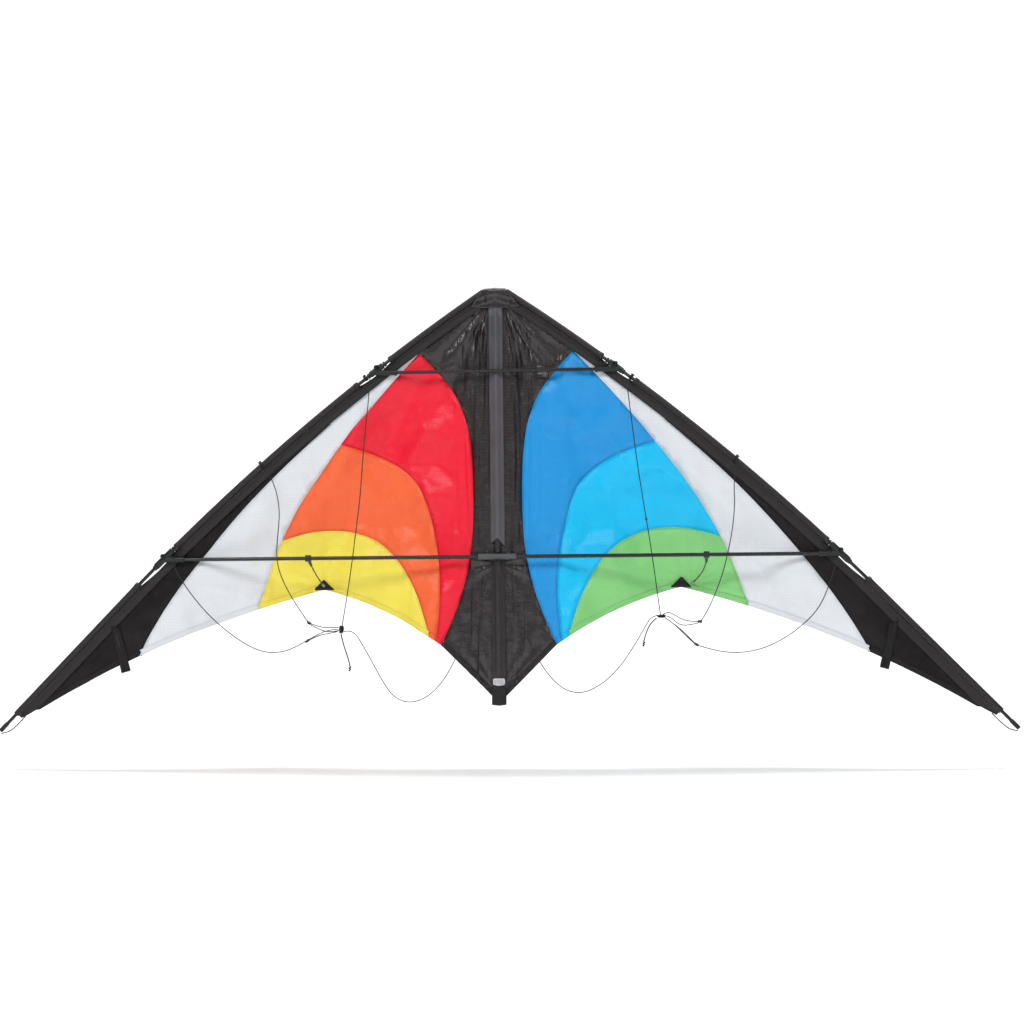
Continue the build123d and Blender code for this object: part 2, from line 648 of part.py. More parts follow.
# ---- standoffs: a clip on the lower spreader, a thin rod and a foot in front of the sail ----
STANDOFF_R = 1.0
CLIP_R = 5.2
CLIP_HALF = 4.5
CLIP_ARM = 21.0
FOOT_R = 2.0
FOOT_GAP = 5.4
for side in SIDES:
    clip_x = STANDOFF_CLIP_X[side]
    foot_x = STANDOFF_FOOT_X[side]
    pivot = Vector(clip_x, 0, LOWER_SPREADER_Z)
    foot = Vector(foot_x, sail_y(foot_x, STANDOFF_FOOT_Z) - FOOT_GAP, STANDOFF_FOOT_Z)
    reach = foot - pivot
    bow = Vector(STANDOFF_BOW[side], 0, 0)
    with BuildLine() as rod_line:
        ThreePointArc(pivot + reach * 0.14 + bow * 0.4, pivot + reach * 0.62 + bow, foot)
    root_direction = rod_line.line % 0
    with BuildPart() as standoff_rod:
        with BuildSketch(Plane(origin=rod_line.line @ 0, z_dir=root_direction)):
            Circle(STANDOFF_R)
        sweep(path=rod_line.line)
    write(f"{side}_standoff_rod", standoff_rod.part)
    with BuildPart() as clip:
        with BuildSketch(Plane.YZ.offset(clip_x)):
            with Locations((0, LOWER_SPREADER_Z)):
                Circle(CLIP_R)
        extrude(amount=CLIP_HALF, both=True)
        fillet(clip.edges().filter_by(GeomType.CIRCLE), 1.0)
        for distance, radius in ((2.0, 3.4), (CLIP_ARM, 1.7)):
            with BuildSketch(Plane(origin=pivot + root_direction * distance, z_dir=root_direction)):
                Circle(radius)
        loft()
        with BuildSketch(Plane.YZ.offset(clip_x)):
            with Locations((0, LOWER_SPREADER_Z)):
                Circle(LOWER_SPREADER_R + FIT)
        extrude(amount=2 * CLIP_HALF, both=True, mode=Mode.SUBTRACT)
    write(f"{side}_standoff_clip", clip.part)
    with BuildPart() as foot_cap:
        with BuildSketch(Plane(origin=foot, z_dir=rod_line.line % 1).offset(-7)):
            Circle(FOOT_R)
        extrude(amount=7.6)
        fillet(foot_cap.edges().filter_by(GeomType.CIRCLE), 0.6)
    write(f"{side}_standoff_foot", foot_cap.part)
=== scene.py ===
import bpy
import json
import math
import numpy as np
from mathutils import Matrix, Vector, noise
from mathutils.geometry import delaunay_2d_cdt


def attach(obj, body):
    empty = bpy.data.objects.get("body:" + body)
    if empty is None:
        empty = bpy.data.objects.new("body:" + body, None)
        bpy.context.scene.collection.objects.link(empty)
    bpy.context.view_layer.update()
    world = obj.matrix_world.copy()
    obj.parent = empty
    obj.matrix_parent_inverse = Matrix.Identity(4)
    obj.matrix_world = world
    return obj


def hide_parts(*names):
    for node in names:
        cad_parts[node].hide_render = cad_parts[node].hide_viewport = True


# Two-line delta kite hung by its upper spreader. Metres, in the CAD's frame: +Z to the nose,
# +X along the span, -Y towards the bridle. The origin is the middle of the upper spreader.
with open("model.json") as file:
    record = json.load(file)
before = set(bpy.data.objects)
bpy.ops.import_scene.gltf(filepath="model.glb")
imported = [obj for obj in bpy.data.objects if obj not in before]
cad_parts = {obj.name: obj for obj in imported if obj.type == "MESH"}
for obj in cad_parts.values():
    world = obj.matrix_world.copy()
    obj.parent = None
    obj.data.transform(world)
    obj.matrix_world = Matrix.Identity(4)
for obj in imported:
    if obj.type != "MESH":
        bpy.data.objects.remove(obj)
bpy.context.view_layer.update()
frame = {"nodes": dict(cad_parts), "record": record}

# ---- driving dimensions, as in the CAD ----
NOSE_Z = 0.129
LOWER_SPREADER_Z = -0.290
LE_START = (0.016, 0.125)
LE_START_SLOPE = math.radians(33.5)
LE_RADIUS = 3.540
LE_TURN = math.radians(12.0)
LE_ARC = LE_RADIUS * LE_TURN
BAND_WIDTH = 0.0188
BAND_Y = 0.0058
SLEEVE_R = 0.0045
SLEEVE_END_S = 1.0045
SAIL_BILLOW = 0.060
BILLOW_LENGTH = 0.480
SPINE_DEPTH = 0.0065
CLOTH = 0.00035
HEAVY_CLOTH = 0.0005
LINE_D = 0.0015
LEADER_D = 0.002
TENSION_CORD_D = 0.0018
SIDES = {"left": -1, "right": 1}

# ---- camera, at the photograph's angle ----
CAMERA_PLACE = Vector((0.290, -3.291, -0.2837))
CAMERA_AIM = Vector((0.0, 0.0, -0.2837))
CAMERA_ROLL = math.radians(0.57)
camera = bpy.data.objects.new("camera", bpy.data.cameras.new("camera"))
bpy.context.collection.objects.link(camera)
bpy.context.scene.camera = camera
camera.data.lens = 74.4
camera.data.sensor_width = 36.0
camera.data.shift_x = 0.0143
camera.data.shift_y = 0.0396
camera.location = CAMERA_PLACE
camera.rotation_euler = (CAMERA_AIM - CAMERA_PLACE).to_track_quat("-Z", "Y").to_euler()
camera.rotation_euler.rotate_axis("Z", -CAMERA_ROLL)


# ---- materials ----
def new_material(name, roughness, specular=0.5):
    """A material, its node tree and its Principled shader."""
    material = bpy.data.materials.new(name)
    material.use_nodes = True
    tree = material.node_tree
    shader = tree.nodes["Principled BSDF"]
    shader.inputs["Roughness"].default_value = roughness
    shader.inputs["Specular IOR Level"].default_value = specular
    return material, tree, shader


def node(tree, kind, **values):
    """A node with its inputs set by name, or linked where the value is a socket."""
    made = tree.nodes.new(kind)
    for key, value in values.items():
        if hasattr(made, key):
            setattr(made, key, value)
            continue
        socket = made.inputs[int(key[1:])] if key[0] == "_" else made.inputs[key.replace("_", " ")]
        if isinstance(value, bpy.types.NodeSocket):
            tree.links.new(value, socket)
        else:
            socket.default_value = value
    return made


def math_node(tree, operation, a, b=0.0):
    return node(tree, "ShaderNodeMath", operation=operation, _0=a, _1=b).outputs[0]


def mix_colour(tree, factor, a, b):
    return node(tree, "ShaderNodeMix", data_type="RGBA", _0=factor, _6=a, _7=b).outputs[2]


def object_coords(tree):
    return node(tree, "ShaderNodeTexCoord").outputs["Object"]


def noise_texture(tree, coords, scale, detail):
    return node(tree, "ShaderNodeTexNoise", Vector=coords, Scale=scale, Detail=detail).outputs[0]


def shade(colour, factor):
    return [min(c * factor, 1.0) for c in colour] + [1.0]


def paint(tree, shader, base, height, strength, distance):
    """Give the shader a base colour and a bump."""
    bump = node(tree, "ShaderNodeBump", Height=height, Strength=strength, Distance=distance)
    tree.links.new(base, shader.inputs["Base Color"])
    tree.links.new(bump.outputs[0], shader.inputs["Normal"])


def line_grid(tree, coords, pitch, share):
    """1 on thin lines a pitch apart along X and Z, else 0."""
    parts = node(tree, "ShaderNodeSeparateXYZ", Vector=coords)
    lines = []
    for axis in (0, 2):
        cell = math_node(tree, "FRACT", math_node(tree, "MULTIPLY", parts.outputs[axis], 1 / pitch))
        lines.append(math_node(tree, "LESS_THAN", cell, share))
    return math_node(tree, "MAXIMUM", *lines)


RIPSTOP_PITCH = 0.005
RIPSTOP_THREAD = 0.12  # a thread's share of the pitch
WAVE_SCALE = 0.314  # a wave texture's scale for one band in each metre


def ripstop(name, colour, roughness=0.38, mottle=0.06, specular=0.42, streaks=0.0):
    """Thin woven nylon: a square grid of thicker threads, mottling and fine drawn streaks."""
    material, tree, shader = new_material(name, roughness, specular)
    coords = object_coords(tree)
    grid = line_grid(tree, coords, RIPSTOP_PITCH, RIPSTOP_THREAD)
    clouds = noise_texture(tree, coords, scale=22.0, detail=5.0)
    base = mix_colour(tree, clouds, shade(colour, 1 - mottle), shade(colour, 1 + mottle))
    lined = mix_colour(tree, math_node(tree, "MULTIPLY", grid, 0.12), base, shade(colour, 0.6))
    weave = noise_texture(tree, coords, scale=1500.0, detail=1.0)
    crumple = noise_texture(tree, coords, scale=60.0, detail=6.0)
    layers = [(weave, 0.2), (crumple, 4.5)]
    if streaks:
        drawn = node(tree, "ShaderNodeMapping", Vector=coords, Scale=(170.0, 20.0, 5.0))
        layers.append((noise_texture(tree, drawn.outputs[0], scale=1.0, detail=3.0), streaks))
    height = math_node(tree, "MULTIPLY", grid, 0.25)
    for texture, amount in layers:
        height = math_node(tree, "ADD", height, math_node(tree, "MULTIPLY", texture, amount))
    paint(tree, shader, lined, height, strength=0.5, distance=0.0008)
    return material


def webbing(name, colour, pitch=0.0016, roughness=0.7):
    """Ribbed tape or heavy cloth: fine slanting ribs and a mottled weave, with painted highlight on the
    ribs and painted shade in the weave's hollows.
    """
    material, tree, shader = new_material(name, roughness, specular=0.35)
    coords = object_coords(tree)
    ribs = node(tree, "ShaderNodeTexWave", Vector=coords, Scale=WAVE_SCALE / pitch, Distortion=0.6,
                bands_direction="DIAGONAL").outputs[1]
    clouds = noise_texture(tree, coords, scale=90.0, detail=5.0)
    # Mottled tone that also sets the bump, so the bump's hollows get painted shade.
    base = mix_colour(tree, clouds, shade(colour, 0.7), shade(colour, 1.5))
    # Painted highlight on the ribs' crowns.
    ribs_painted_lighter = mix_colour(tree, ribs, base, shade(colour, 1.25))
    height = math_node(tree, "ADD", ribs, clouds)
    paint(tree, shader, ribs_painted_lighter, height, strength=0.45, distance=0.0004)
    return material


def moulded(name, colour, roughness, wear=0.25, strength=0.15, specular=0.5):
    """Moulded rubber or plastic: faint grain, with lighter scuffs."""
    material, tree, shader = new_material(name, roughness, specular)
    coords = object_coords(tree)
    grains = noise_texture(tree, coords, scale=350.0, detail=4.0)
    scuffs = noise_texture(tree, coords, scale=45.0, detail=8.0)
    base = mix_colour(tree, math_node(tree, "MULTIPLY", scuffs, wear), shade(colour, 1.0),
                      shade(colour, 3.0))
    rough = node(tree, "ShaderNodeMapRange", _0=scuffs, _3=roughness * 0.8, _4=roughness * 1.25)
    tree.links.new(rough.outputs[0], shader.inputs["Roughness"])
    paint(tree, shader, base, grains, strength, distance=0.0003)
    return material


def braid(name, colour, pitch=0.0018):
    """Braided line: two sets of strands that slant across each other, with painted shade in the grooves
    and painted highlight on the crowns.
    """
    material, tree, shader = new_material(name, 0.7, specular=0.3)
    coords = object_coords(tree)
    strands = []
    for slant in (0.6, -0.6):
        turned = node(tree, "ShaderNodeMapping", Vector=coords, Rotation=(0.0, slant, slant))
        wave = node(tree, "ShaderNodeTexWave", Vector=turned.outputs[0], Scale=WAVE_SCALE / pitch,
                    Distortion=0.4, bands_direction="Z")
        strands.append(wave.outputs[1])
    height = math_node(tree, "MAXIMUM", *strands)
    # Painted shade in the grooves and painted highlight on the strands' crowns, following the bump.
    base = mix_colour(tree, height, shade(colour, 0.55), shade(colour, 1.25))
    paint(tree, shader, base, height, strength=0.6, distance=0.0003)
    return material


PANEL_COLOURS = {
    "red": (0.90, 0.007, 0.033),
    "orange": (1.0, 0.145, 0.040),
    "yellow": (0.93, 0.79, 0.095),
    "white": (0.77, 0.80, 0.84),
    "blue": (0.008, 0.315, 0.76),
    "cyan": (0.0, 0.56, 0.98),
    "green": (0.25, 0.66, 0.22),
}
cloths = {name: ripstop(f"{name}_ripstop", colour) for name, colour in PANEL_COLOURS.items()}
hem_cloths = {name: ripstop(f"{name}_hem", [c * 0.93 for c in colour], 0.5, 0.04)
              for name, colour in PANEL_COLOURS.items()}
cloths["black"] = ripstop("black_ripstop", (0.0175, 0.0120, 0.0130), 0.27, 0.3, 0.75, streaks=9.0)
cloths["tip"] = ripstop("tip_ripstop", (0.0060, 0.0034, 0.0040), 0.42, 0.35, 0.25, streaks=3.0)
hem_cloths["black"] = ripstop("black_hem", (0.014, 0.011, 0.012), 0.45, 0.1, 0.35)
hem_cloths["tip"] = ripstop("tip_hem", (0.010, 0.008, 0.009), 0.5, 0.1, 0.25)
# Painted sheen: the upper spine strip's cloth is the dark sleeve cloth made grey, while the lower strip
# keeps it dark.
spine_sheen_cloth = ripstop("spine_strip_painted_sheen", (0.088, 0.086, 0.097), 0.33, 0.35, 0.6, streaks=4.0)
spine_low_cloth = ripstop("spine_low_cloth", (0.023, 0.020, 0.023), 0.36, 0.3, 0.5, streaks=4.0)
sleeve_cloth = webbing("sleeve_cloth", (0.017, 0.0145, 0.0155), pitch=0.0011, roughness=0.55)
webbing_black = webbing("black_webbing", (0.012, 0.011, 0.012))
pocket_cloth = webbing("pocket_cloth", (0.0060, 0.0050, 0.0055), pitch=0.0011)
label_cloth = webbing("label_cloth", (0.45, 0.45, 0.47), pitch=0.0008)
label_edge = webbing("label_edge", (0.80, 0.80, 0.82), pitch=0.0008)
thread_black = braid("black_thread", (0.022, 0.021, 0.022), 0.0006)
line_braid = braid("bridle_braid", (0.024, 0.027, 0.022))
leader_braid = braid("leader_braid", (0.012, 0.012, 0.011))
rod_gloss = moulded("carbon_rod", (0.006, 0.006, 0.007), 0.27, 0.08, 0.04, 0.55)
ferrule_matte = moulded("ferrule", (0.03, 0.03, 0.03), 0.5)
fitting_rubber = moulded("fitting_rubber", (0.0075, 0.0115, 0.0115), 0.38, wear=0.15, specular=0.4)
# Painted highlight: the tee's black rubber is made grey all over.
tee_painted_highlight_rubber = moulded("tee_painted_highlight_rubber", (0.055, 0.060, 0.061), 0.30, wear=0.1, specular=0.6)
nock_plastic = moulded("nock_plastic", (0.010, 0.010, 0.011), 0.45, specular=0.4)
foot_plastic = moulded("foot_plastic", (0.20, 0.205, 0.205), 0.5, wear=0.1)


# ---- helpers ----
def clamp(value):
    return min(max(value, 0.0), 1.0)


def bell(offset, width, power=2):
    """1 at no offset, falling to 0 within about two widths."""
    return math.exp(-((offset / width) ** power))


def ripple(x, z, per_x, per_z, seed):
    """Smooth noise, -1 to 1, that changes so many times a metre along X and Z."""
    return noise.noise(Vector((x * per_x, z * per_z, seed)))


def mirror(path, sign):
    """A path of the right half, turned to the side with that sign."""
    return [(sign * x, z) for x, z in path]


def grid_faces(rows, columns):
    """Quads between vertices that are listed row by row."""
    return [(i * columns + j, i * columns + j + 1, (i + 1) * columns + j + 1, (i + 1) * columns + j)
            for i in range(rows - 1) for j in range(columns - 1)]


def add_object(name, data, material, body="kite"):
    made = bpy.data.objects.new(name, data)
    bpy.context.collection.objects.link(made)
    data.materials.append(material)
    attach(made, body)
    return made


def mesh_object(name, vertices, faces, material, thickness):
    mesh = bpy.data.meshes.new(name)
    mesh.from_pydata([tuple(v) for v in vertices], [], [tuple(f) for f in faces])
    mesh.validate()
    mesh.update()
    mesh.shade_smooth()
    made = add_object(name, mesh, material)
    if thickness:
        solid = made.modifiers.new("thickness", "SOLIDIFY")
        solid.thickness = thickness
        solid.offset = 0.0
    return made


def tube_object(name, points, diameter, material, body="kite"):
    """Round cord on a smooth curve whose control points are given."""
    curve = bpy.data.curves.new(name, "CURVE")
    curve.dimensions = "3D"
    curve.resolution_u = 8
    curve.bevel_depth = diameter / 2
    curve.bevel_resolution = 3
    curve.use_fill_caps = True
    spline = curve.splines.new("NURBS")
    spline.points.add(len(points) - 1)
    for place, point in zip(spline.points, points):
        place.co = (*point, 1.0)
    spline.order_u = 3
    spline.use_endpoint_u = True
    return add_object(name, curve, material, body)


# ---- cords ----
# Control points of each cord's route, in millimetres.
ROUTES = {
    "left_upper_leg": [
        (-197, -7, -9), (-199, -8, -40), (-205, -8, -90), (-210, -8, -143), (-214, -9, -195),
        (-221, -10, -247), (-228, -11, -300), (-236, -12, -352), (-244, -14, -397)
    ],
    "left_middle_leg": [
        (-368, -6, -141), (-361, -7, -152), (-354, -7, -166), (-346, -7, -188), (-342, -8, -218),
        (-345, -9, -250), (-348, -10, -284), (-343, -11, -312), (-329, -12, -342),
        (-310, -13, -372), (-298, -14, -389)
    ],
    "left_outer_leg": [
        (-514, -6, -297), (-507, -8, -311), (-493, -9, -333), (-474, -10, -358), (-451, -11, -383),
        (-424, -12, -406), (-396, -13, -425), (-368, -14, -437), (-340, -14, -437),
        (-318, -14, -429), (-302, -14, -420)
    ],
    "left_inner_leg": [
        (-3, -7, -302), (-12, -8, -322), (-30, -8, -358), (-45, -8, -392), (-57, -9, -424),
        (-69, -10, -455), (-87, -11, -485), (-110, -12, -508), (-138, -12, -518),
        (-163, -12, -509), (-180, -12, -485), (-196, -12, -455), (-213, -13, -424),
        (-223, -13, -408), (-234, -14, -403), (-241, -14, -405)
    ],
    "left_middle_strand_1": [
        (-294, -14, -392), (-281, -15, -397), (-265, -16, -399), (-249, -15, -398)
    ],
    "left_middle_strand_2": [
        (-294, -13, -394), (-283, -12, -400), (-270, -11, -405), (-257, -11, -405),
        (-249, -13, -403)
    ],
    "left_outer_strand_1": [
        (-296, -14, -418), (-281, -14, -410.5), (-266, -13, -408), (-251, -14, -405)
    ],
    "left_outer_strand_2": [
        (-296, -16, -417), (-280, -18, -408), (-264, -18, -402), (-250, -17, -401)
    ],
    "left_leader": [
        (-245.7, -14, -408.5), (-242.5, -14, -423), (-238, -14, -437), (-234, -14, -449),
        (-232, -14, -459)
    ],
    "right_upper_leg": [
        (204, -7, -18), (209, -8, -60), (215, -8, -112), (222, -8, -165), (230, -9, -218),
        (238, -10, -268), (244, -11, -312), (249, -12.5, -351), (253, -14, -382)
    ],
    "right_middle_leg": [
        (373, -6, -144), (370, -7, -160), (368, -7, -183), (369, -8, -212), (366, -9, -246),
        (359, -10, -282), (350, -11, -318), (336, -12, -355), (322, -13, -383), (316, -14, -391)
    ],
    "right_outer_leg": [
        (526, -6, -297), (521, -8, -312), (512, -9, -337), (503, -10, -360), (490, -11, -381),
        (467, -12, -403), (436, -13, -424), (402, -14, -438), (368, -14, -442), (336, -14, -438),
        (311, -14, -430)
    ],
    "right_inner_leg": [
        (3, -7, -302), (11, -8, -322), (23, -8, -356), (37, -8, -396), (55, -9, -436),
        (76, -10, -472), (102, -11, -498), (131, -12, -504), (161, -12, -490), (187, -12, -466),
        (207, -12, -438), (224, -12, -410), (234, -13, -392), (241, -13.5, -384.5),
        (250, -14, -383)
    ],
    "right_middle_strand_1": [
        (312, -15, -393), (300, -16, -393), (285, -17, -389), (271, -17, -380), (263, -16, -378),
        (257, -16, -382)
    ],
    "right_middle_strand_2": [
        (312, -13, -395), (300, -12, -398), (288, -11, -399), (279, -11, -396), (270, -11, -387),
        (262, -12, -384)
    ],
    "right_outer_strand_1": [
        (305, -16, -427), (290, -18, -413), (276, -19, -398), (262, -17, -388)
    ],
    "right_outer_strand_2": [
        (305, -13, -426), (289, -12, -409), (273, -10, -396), (260, -13, -387)
    ],
    "right_leader": [
        (247.2, -14, -387.2), (241, -14, -392), (234.5, -14, -401), (230, -14, -412),
        (227, -14, -423)
    ],
}
# The right tension cord's route. The left one mirrors it.
TENSION_CORD = [
    (757, 1, -537), (766, 1, -546), (776, 0, -556), (786, 0, -562.5), (796.5, 0, -564)
]


def metres(route):
    return [tuple(round(value / 1000, 6) for value in point) for point in route]


def free_cord(name, points, replaces=(), diameter=LINE_D, material=line_braid,
              body="kite"):
    made = tube_object(name, points, diameter, material, body)
    if replaces:
        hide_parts(*replaces)
    return made


def axes_across(direction):
    """Three unit vectors: along the direction, and two across it."""
    along = Vector(direction).normalized()
    first = along.cross(Vector((0, 1, 0)) if abs(along.y) < 0.9 else Vector((1, 0, 0))).normalized()
    return along, first, along.cross(first)


def knot(name, center, direction, length, radius, diameter=LINE_D, material=line_braid,
         body="kite", turns=3):
    """A pulled-tight knot: a line wound in a few close turns and crossed back through itself."""
    along, first, second = axes_across(direction)
    points = []
    count = turns * 8
    for i in range(count + 1):
        share = i / count
        angle = 2 * math.pi * turns * share
        swell = radius * (0.72 + 0.28 * math.sin(math.pi * share))
        offset = along * (length * (share - 0.5)) * 0.82
        out = first * math.cos(angle) + second * math.sin(angle)
        points.append(Vector(center) + offset + out * swell)
    points.append(Vector(center) + along * length * 0.2 - second * radius * 0.9)
    points.append(Vector(center) - along * length * 0.3 - second * radius * 1.0)
    points.append(Vector(center) - along * length * 0.5)
    return tube_object(name, points, diameter, material, body)


def lashing(name, center, direction, radius, turns, material):
    """Line wrapped round a rod or sleeve in close turns."""
    along, first, second = axes_across(direction)
    points = []
    count = int(turns * 12)
    for i in range(count + 1):
        angle = 2 * math.pi * turns * i / count
        offset = along * (i / count - 0.5) * turns * LINE_D * 1.05
        out = first * math.cos(angle) + second * math.sin(angle)
        points.append(Vector(center) + offset + out * radius)
    return tube_object(name, points, LINE_D, material)


KNOTS = {
    "left": {"tow": ((-0.245, -0.014, -0.4015), (0.1, 0, 1), 0.013, 0.0040),
             "middle": ((-0.296, -0.014, -0.391), (1, 0, -0.7), 0.007, 0.0021),
             "outer": ((-0.299, -0.0145, -0.419), (1, 0, 0.6), 0.008, 0.0020)},
    "right": {"tow": ((0.255, -0.014, -0.3845), (1, 0, 0), 0.014, 0.0023),
              "middle": ((0.314, -0.014, -0.393), (1, 0, -0.2), 0.007, 0.0021),
              "outer": ((0.308, -0.0145, -0.4285), (1, 0, -0.6), 0.008, 0.0020),
              "stop": ((0.2325, -0.0093, -0.234), (0.15, 0, -1), 0.004, 0.0011)},
}
END_KNOT_DROP = 0.0035
KNOTS_ON_LEG = {"upper": ("tow", "stop"), "middle": ("middle",), "outer": ("outer",), "inner": ()}
for side, sign in SIDES.items():
    for knot_name, (center, direction, length, radius) in KNOTS[side].items():
        own_braid, turns = (leader_braid, 6) if knot_name == "tow" else (line_braid, 3)
        knot(f"{side}_{knot_name}_knot", center, direction, length, radius,
                                material=own_braid, turns=turns)
    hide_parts(f"{side}_bridle_knots")
    for leg, on_it in KNOTS_ON_LEG.items():
        name = f"{side}_{leg}_leg"
        free_cord(name, metres(ROUTES[name]), [f"{side}_{leg}_bridle_leg"])
    for strand in ("middle_strand_1", "middle_strand_2", "outer_strand_1", "outer_strand_2"):
        name = f"{side}_{strand}"
        free_cord(name, metres(ROUTES[name]))
    leader = metres(ROUTES[f"{side}_leader"])
    end_knot = knot(f"{side}_end_knot", Vector(leader[-1]) - Vector((0, 0, END_KNOT_DROP)), (0.15, 0, 1),
                    0.009, 0.0016, LEADER_D * 0.85, leader_braid, f"{side}_tow", turns=2)
    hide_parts(f"{side}_leader_knot")
    free_cord(f"{side}_leader", leader, [f"{side}_tow_leader"], LEADER_D, leader_braid,
              f"{side}_tow")
    tension = [(sign * x, y, z) for x, y, z in metres(TENSION_CORD)]
    free_cord(f"{side}_tension_cord", tension, [f"{side}_tip_tension_cord"], TENSION_CORD_D,
              leader_braid)


# ---- the sail's surface ----
def le_point(s):
    """Centre of the right leading edge at distance s from its nose end, and its slope."""
    slope = LE_START_SLOPE + min(s, LE_ARC) / LE_RADIUS
    x = LE_START[0] + LE_RADIUS * (math.sin(slope) - math.sin(LE_START_SLOPE))
    z = LE_START[1] - LE_RADIUS * (math.cos(LE_START_SLOPE) - math.cos(slope))
    rest = max(s - LE_ARC, 0.0)
    return x + rest * math.cos(slope), z - rest * math.sin(slope), slope


def le_cos_slope(z):
    return math.cos(LE_START_SLOPE) - (LE_START[1] - z) / LE_RADIUS


def le_half_width(z):
    """Distance from the spine to the leading edge at height z."""
    end_x, end_z, end_slope = le_point(LE_ARC)
    if z < end_z:
        return end_x + (end_z - z) / math.tan(end_slope)
    return LE_START[0] + LE_RADIUS * (math.sqrt(1 - le_cos_slope(z)**2) - math.sin(LE_START_SLOPE))


def le_station(z):
    """Distance along the leading edge's arc at height z."""
    return (math.acos(le_cos_slope(z)) - LE_START_SLOPE) * LE_RADIUS


def le_offset(s, inward, y=0.0, sign=1):
    """Point beside the leading edge, that far towards the sail and that far back."""
    x, z, slope = le_point(s)
    return Vector((sign * (x - inward * math.sin(slope)), y, z - inward * math.cos(slope)))


FEET = {-1: (-0.285, -0.335), 1: (0.302, -0.335)}
TAIL_MEETS_Z = -0.509
NOSE_GATHER = (0.0, NOSE_Z)
TAIL_GATHER = (0.0, TAIL_MEETS_Z)
TEE_GATHER = (0.0, LOWER_SPREADER_Z - 0.01)
# Each fan of folds: its count, reach, start, depth and phase.
NOSE_FAN = (25, 0.13, 0.05, 0.0072, 0.0)
FOOT_FAN = (13, 0.070, 0.020, 0.0024, 1.0)
TAIL_FAN = (24, 0.10, 0.03, 0.0013, 0.0)
TEE_FAN = (11, 0.045, 0.025, 0.0016, 2.0)


def rays(x, z, place, count, reach, start, depth, phase):
    """Folds that fan out from a place, fading over the reach, as a depth."""
    away = math.hypot(x - place[0], z - place[1])
    turn = math.atan2(x - place[0], z - place[1])
    sway = 1.2 * ripple(x, z, 12, 12, 9.0 + phase)
    fade = depth * math.exp(-away / reach) * min(away / start, 1.0)
    return fade * math.sin(turn * count + sway + phase)


def facets(x, z, cell, seed):
    """Height, 0 to 1, of flat triangular facets with straight creases between them."""
    warp = 0.3 * cell
    x += warp * ripple(x, z, 11, 11, seed)
    z += warp * ripple(x, z, 11, 11, seed + 5)
    u, v = (x - 0.577 * z) / cell, 1.155 * z / cell
    column, row = math.floor(u), math.floor(v)
    p, q = u - column, v - row
    corners = ((0, 0, 1 - p - q), (1, 0, p), (0, 1, q))
    if p + q > 1:
        corners = ((1, 1, p + q - 1), (1, 0, 1 - q), (0, 1, 1 - p))
    return sum(share * noise.cell(Vector((column + i + 0.5, row + j + 0.5, seed)))
               for i, j, share in corners)


def folds(x, z):
    """Wrinkles and gathers of the cloth, as depth behind the smooth surface."""
    across = abs(x)
    lean = ripple(x, z, 9, 3.1, 4.0)
    gather = bell(across - 0.030, 0.026) * clamp((0.105 - z) / 0.10)
    relief = 0.0018 * gather * math.sin(across * 400 + 2.2 * lean + 1.5 * math.sin(z * 14))
    relief += 0.0007 * gather * math.sin(across * 760 + 3.0 * lean + 0.9 * math.sin(z * 23))
    foot = FEET[1 if x > 0 else -1]
    for place, *fan in ((NOSE_GATHER, *NOSE_FAN), (foot, *FOOT_FAN), (TAIL_GATHER, *TAIL_FAN),
                        (TEE_GATHER, *TEE_FAN)):
        relief += rays(x, z, place, *fan)
    outer = clamp((across - 0.05) / 0.06)
    broad = ripple(x, z, 7.0, 13.0, 1.7)
    soft = ripple(x, z, 16.0, 34.0, 5.2)
    fine = ripple(x, z, 75.0, 60.0, 8.1)
    relief += 0.0013 * broad + (0.0005 + 0.0007 * outer) * soft + 0.0003 * fine
    crumple = 0.0125 * facets(x, z, 0.056, 3.0) + 0.0026 * facets(x, z, 0.021, 8.0) - 0.0065
    from_foot = math.hypot(x - foot[0], z - foot[1])
    return relief + outer * (1 - bell(from_foot, 0.03)) * crumple


def surface_y(x, z):
    """Depth of the sail's middle surface, with its folds."""
    share = min(abs(x) / le_half_width(z), 1.0)
    drop = clamp((NOSE_Z - z) / BILLOW_LENGTH)
    y = BAND_Y + 0.0004 + SPINE_DEPTH * math.cos(math.pi / 2 * share) ** 2
    y += SAIL_BILLOW * math.sin(math.pi / 2 * drop) ** 2 * math.sin(math.pi * share) ** 2
    edge = clamp((le_half_width(z) - abs(x) - 0.034) / 0.045)
    strip = clamp((abs(x) - 0.010) / 0.012)
    return y + folds(x, z) * edge * strip


def smooth_curve(points, step=0.003):
    """Points a step apart along a natural cubic spline through the given ones."""
    knots = np.array(points, float)
    spans = np.hypot(*np.diff(knots, axis=0).T)
    at = np.concatenate([[0.0], np.cumsum(spans)])
    size = len(knots)
    matrix = np.eye(size)
    target = np.zeros((size, 2))
    for i in range(1, size - 1):
        before, after = spans[i - 1], spans[i]
        matrix[i, i - 1:i + 2] = before, 2 * (before + after), after
        target[i] = 6 * ((knots[i + 1] - knots[i]) / after - (knots[i] - knots[i - 1]) / before)
    bend = np.linalg.solve(matrix, target)
    found = []
    for place in np.linspace(0, at[-1], max(int(at[-1] / step), 2) + 1):
        i = min(int(np.searchsorted(at, place, side="right")) - 1, size - 2)
        width = spans[i]
        right, left = (place - at[i]) / width, (at[i + 1] - place) / width
        found.append(left * knots[i] + right * knots[i + 1]
                     + ((left**3 - left) * bend[i] + (right**3 - right) * bend[i + 1]) * width**2 / 6)
    return [tuple(p) for p in found]


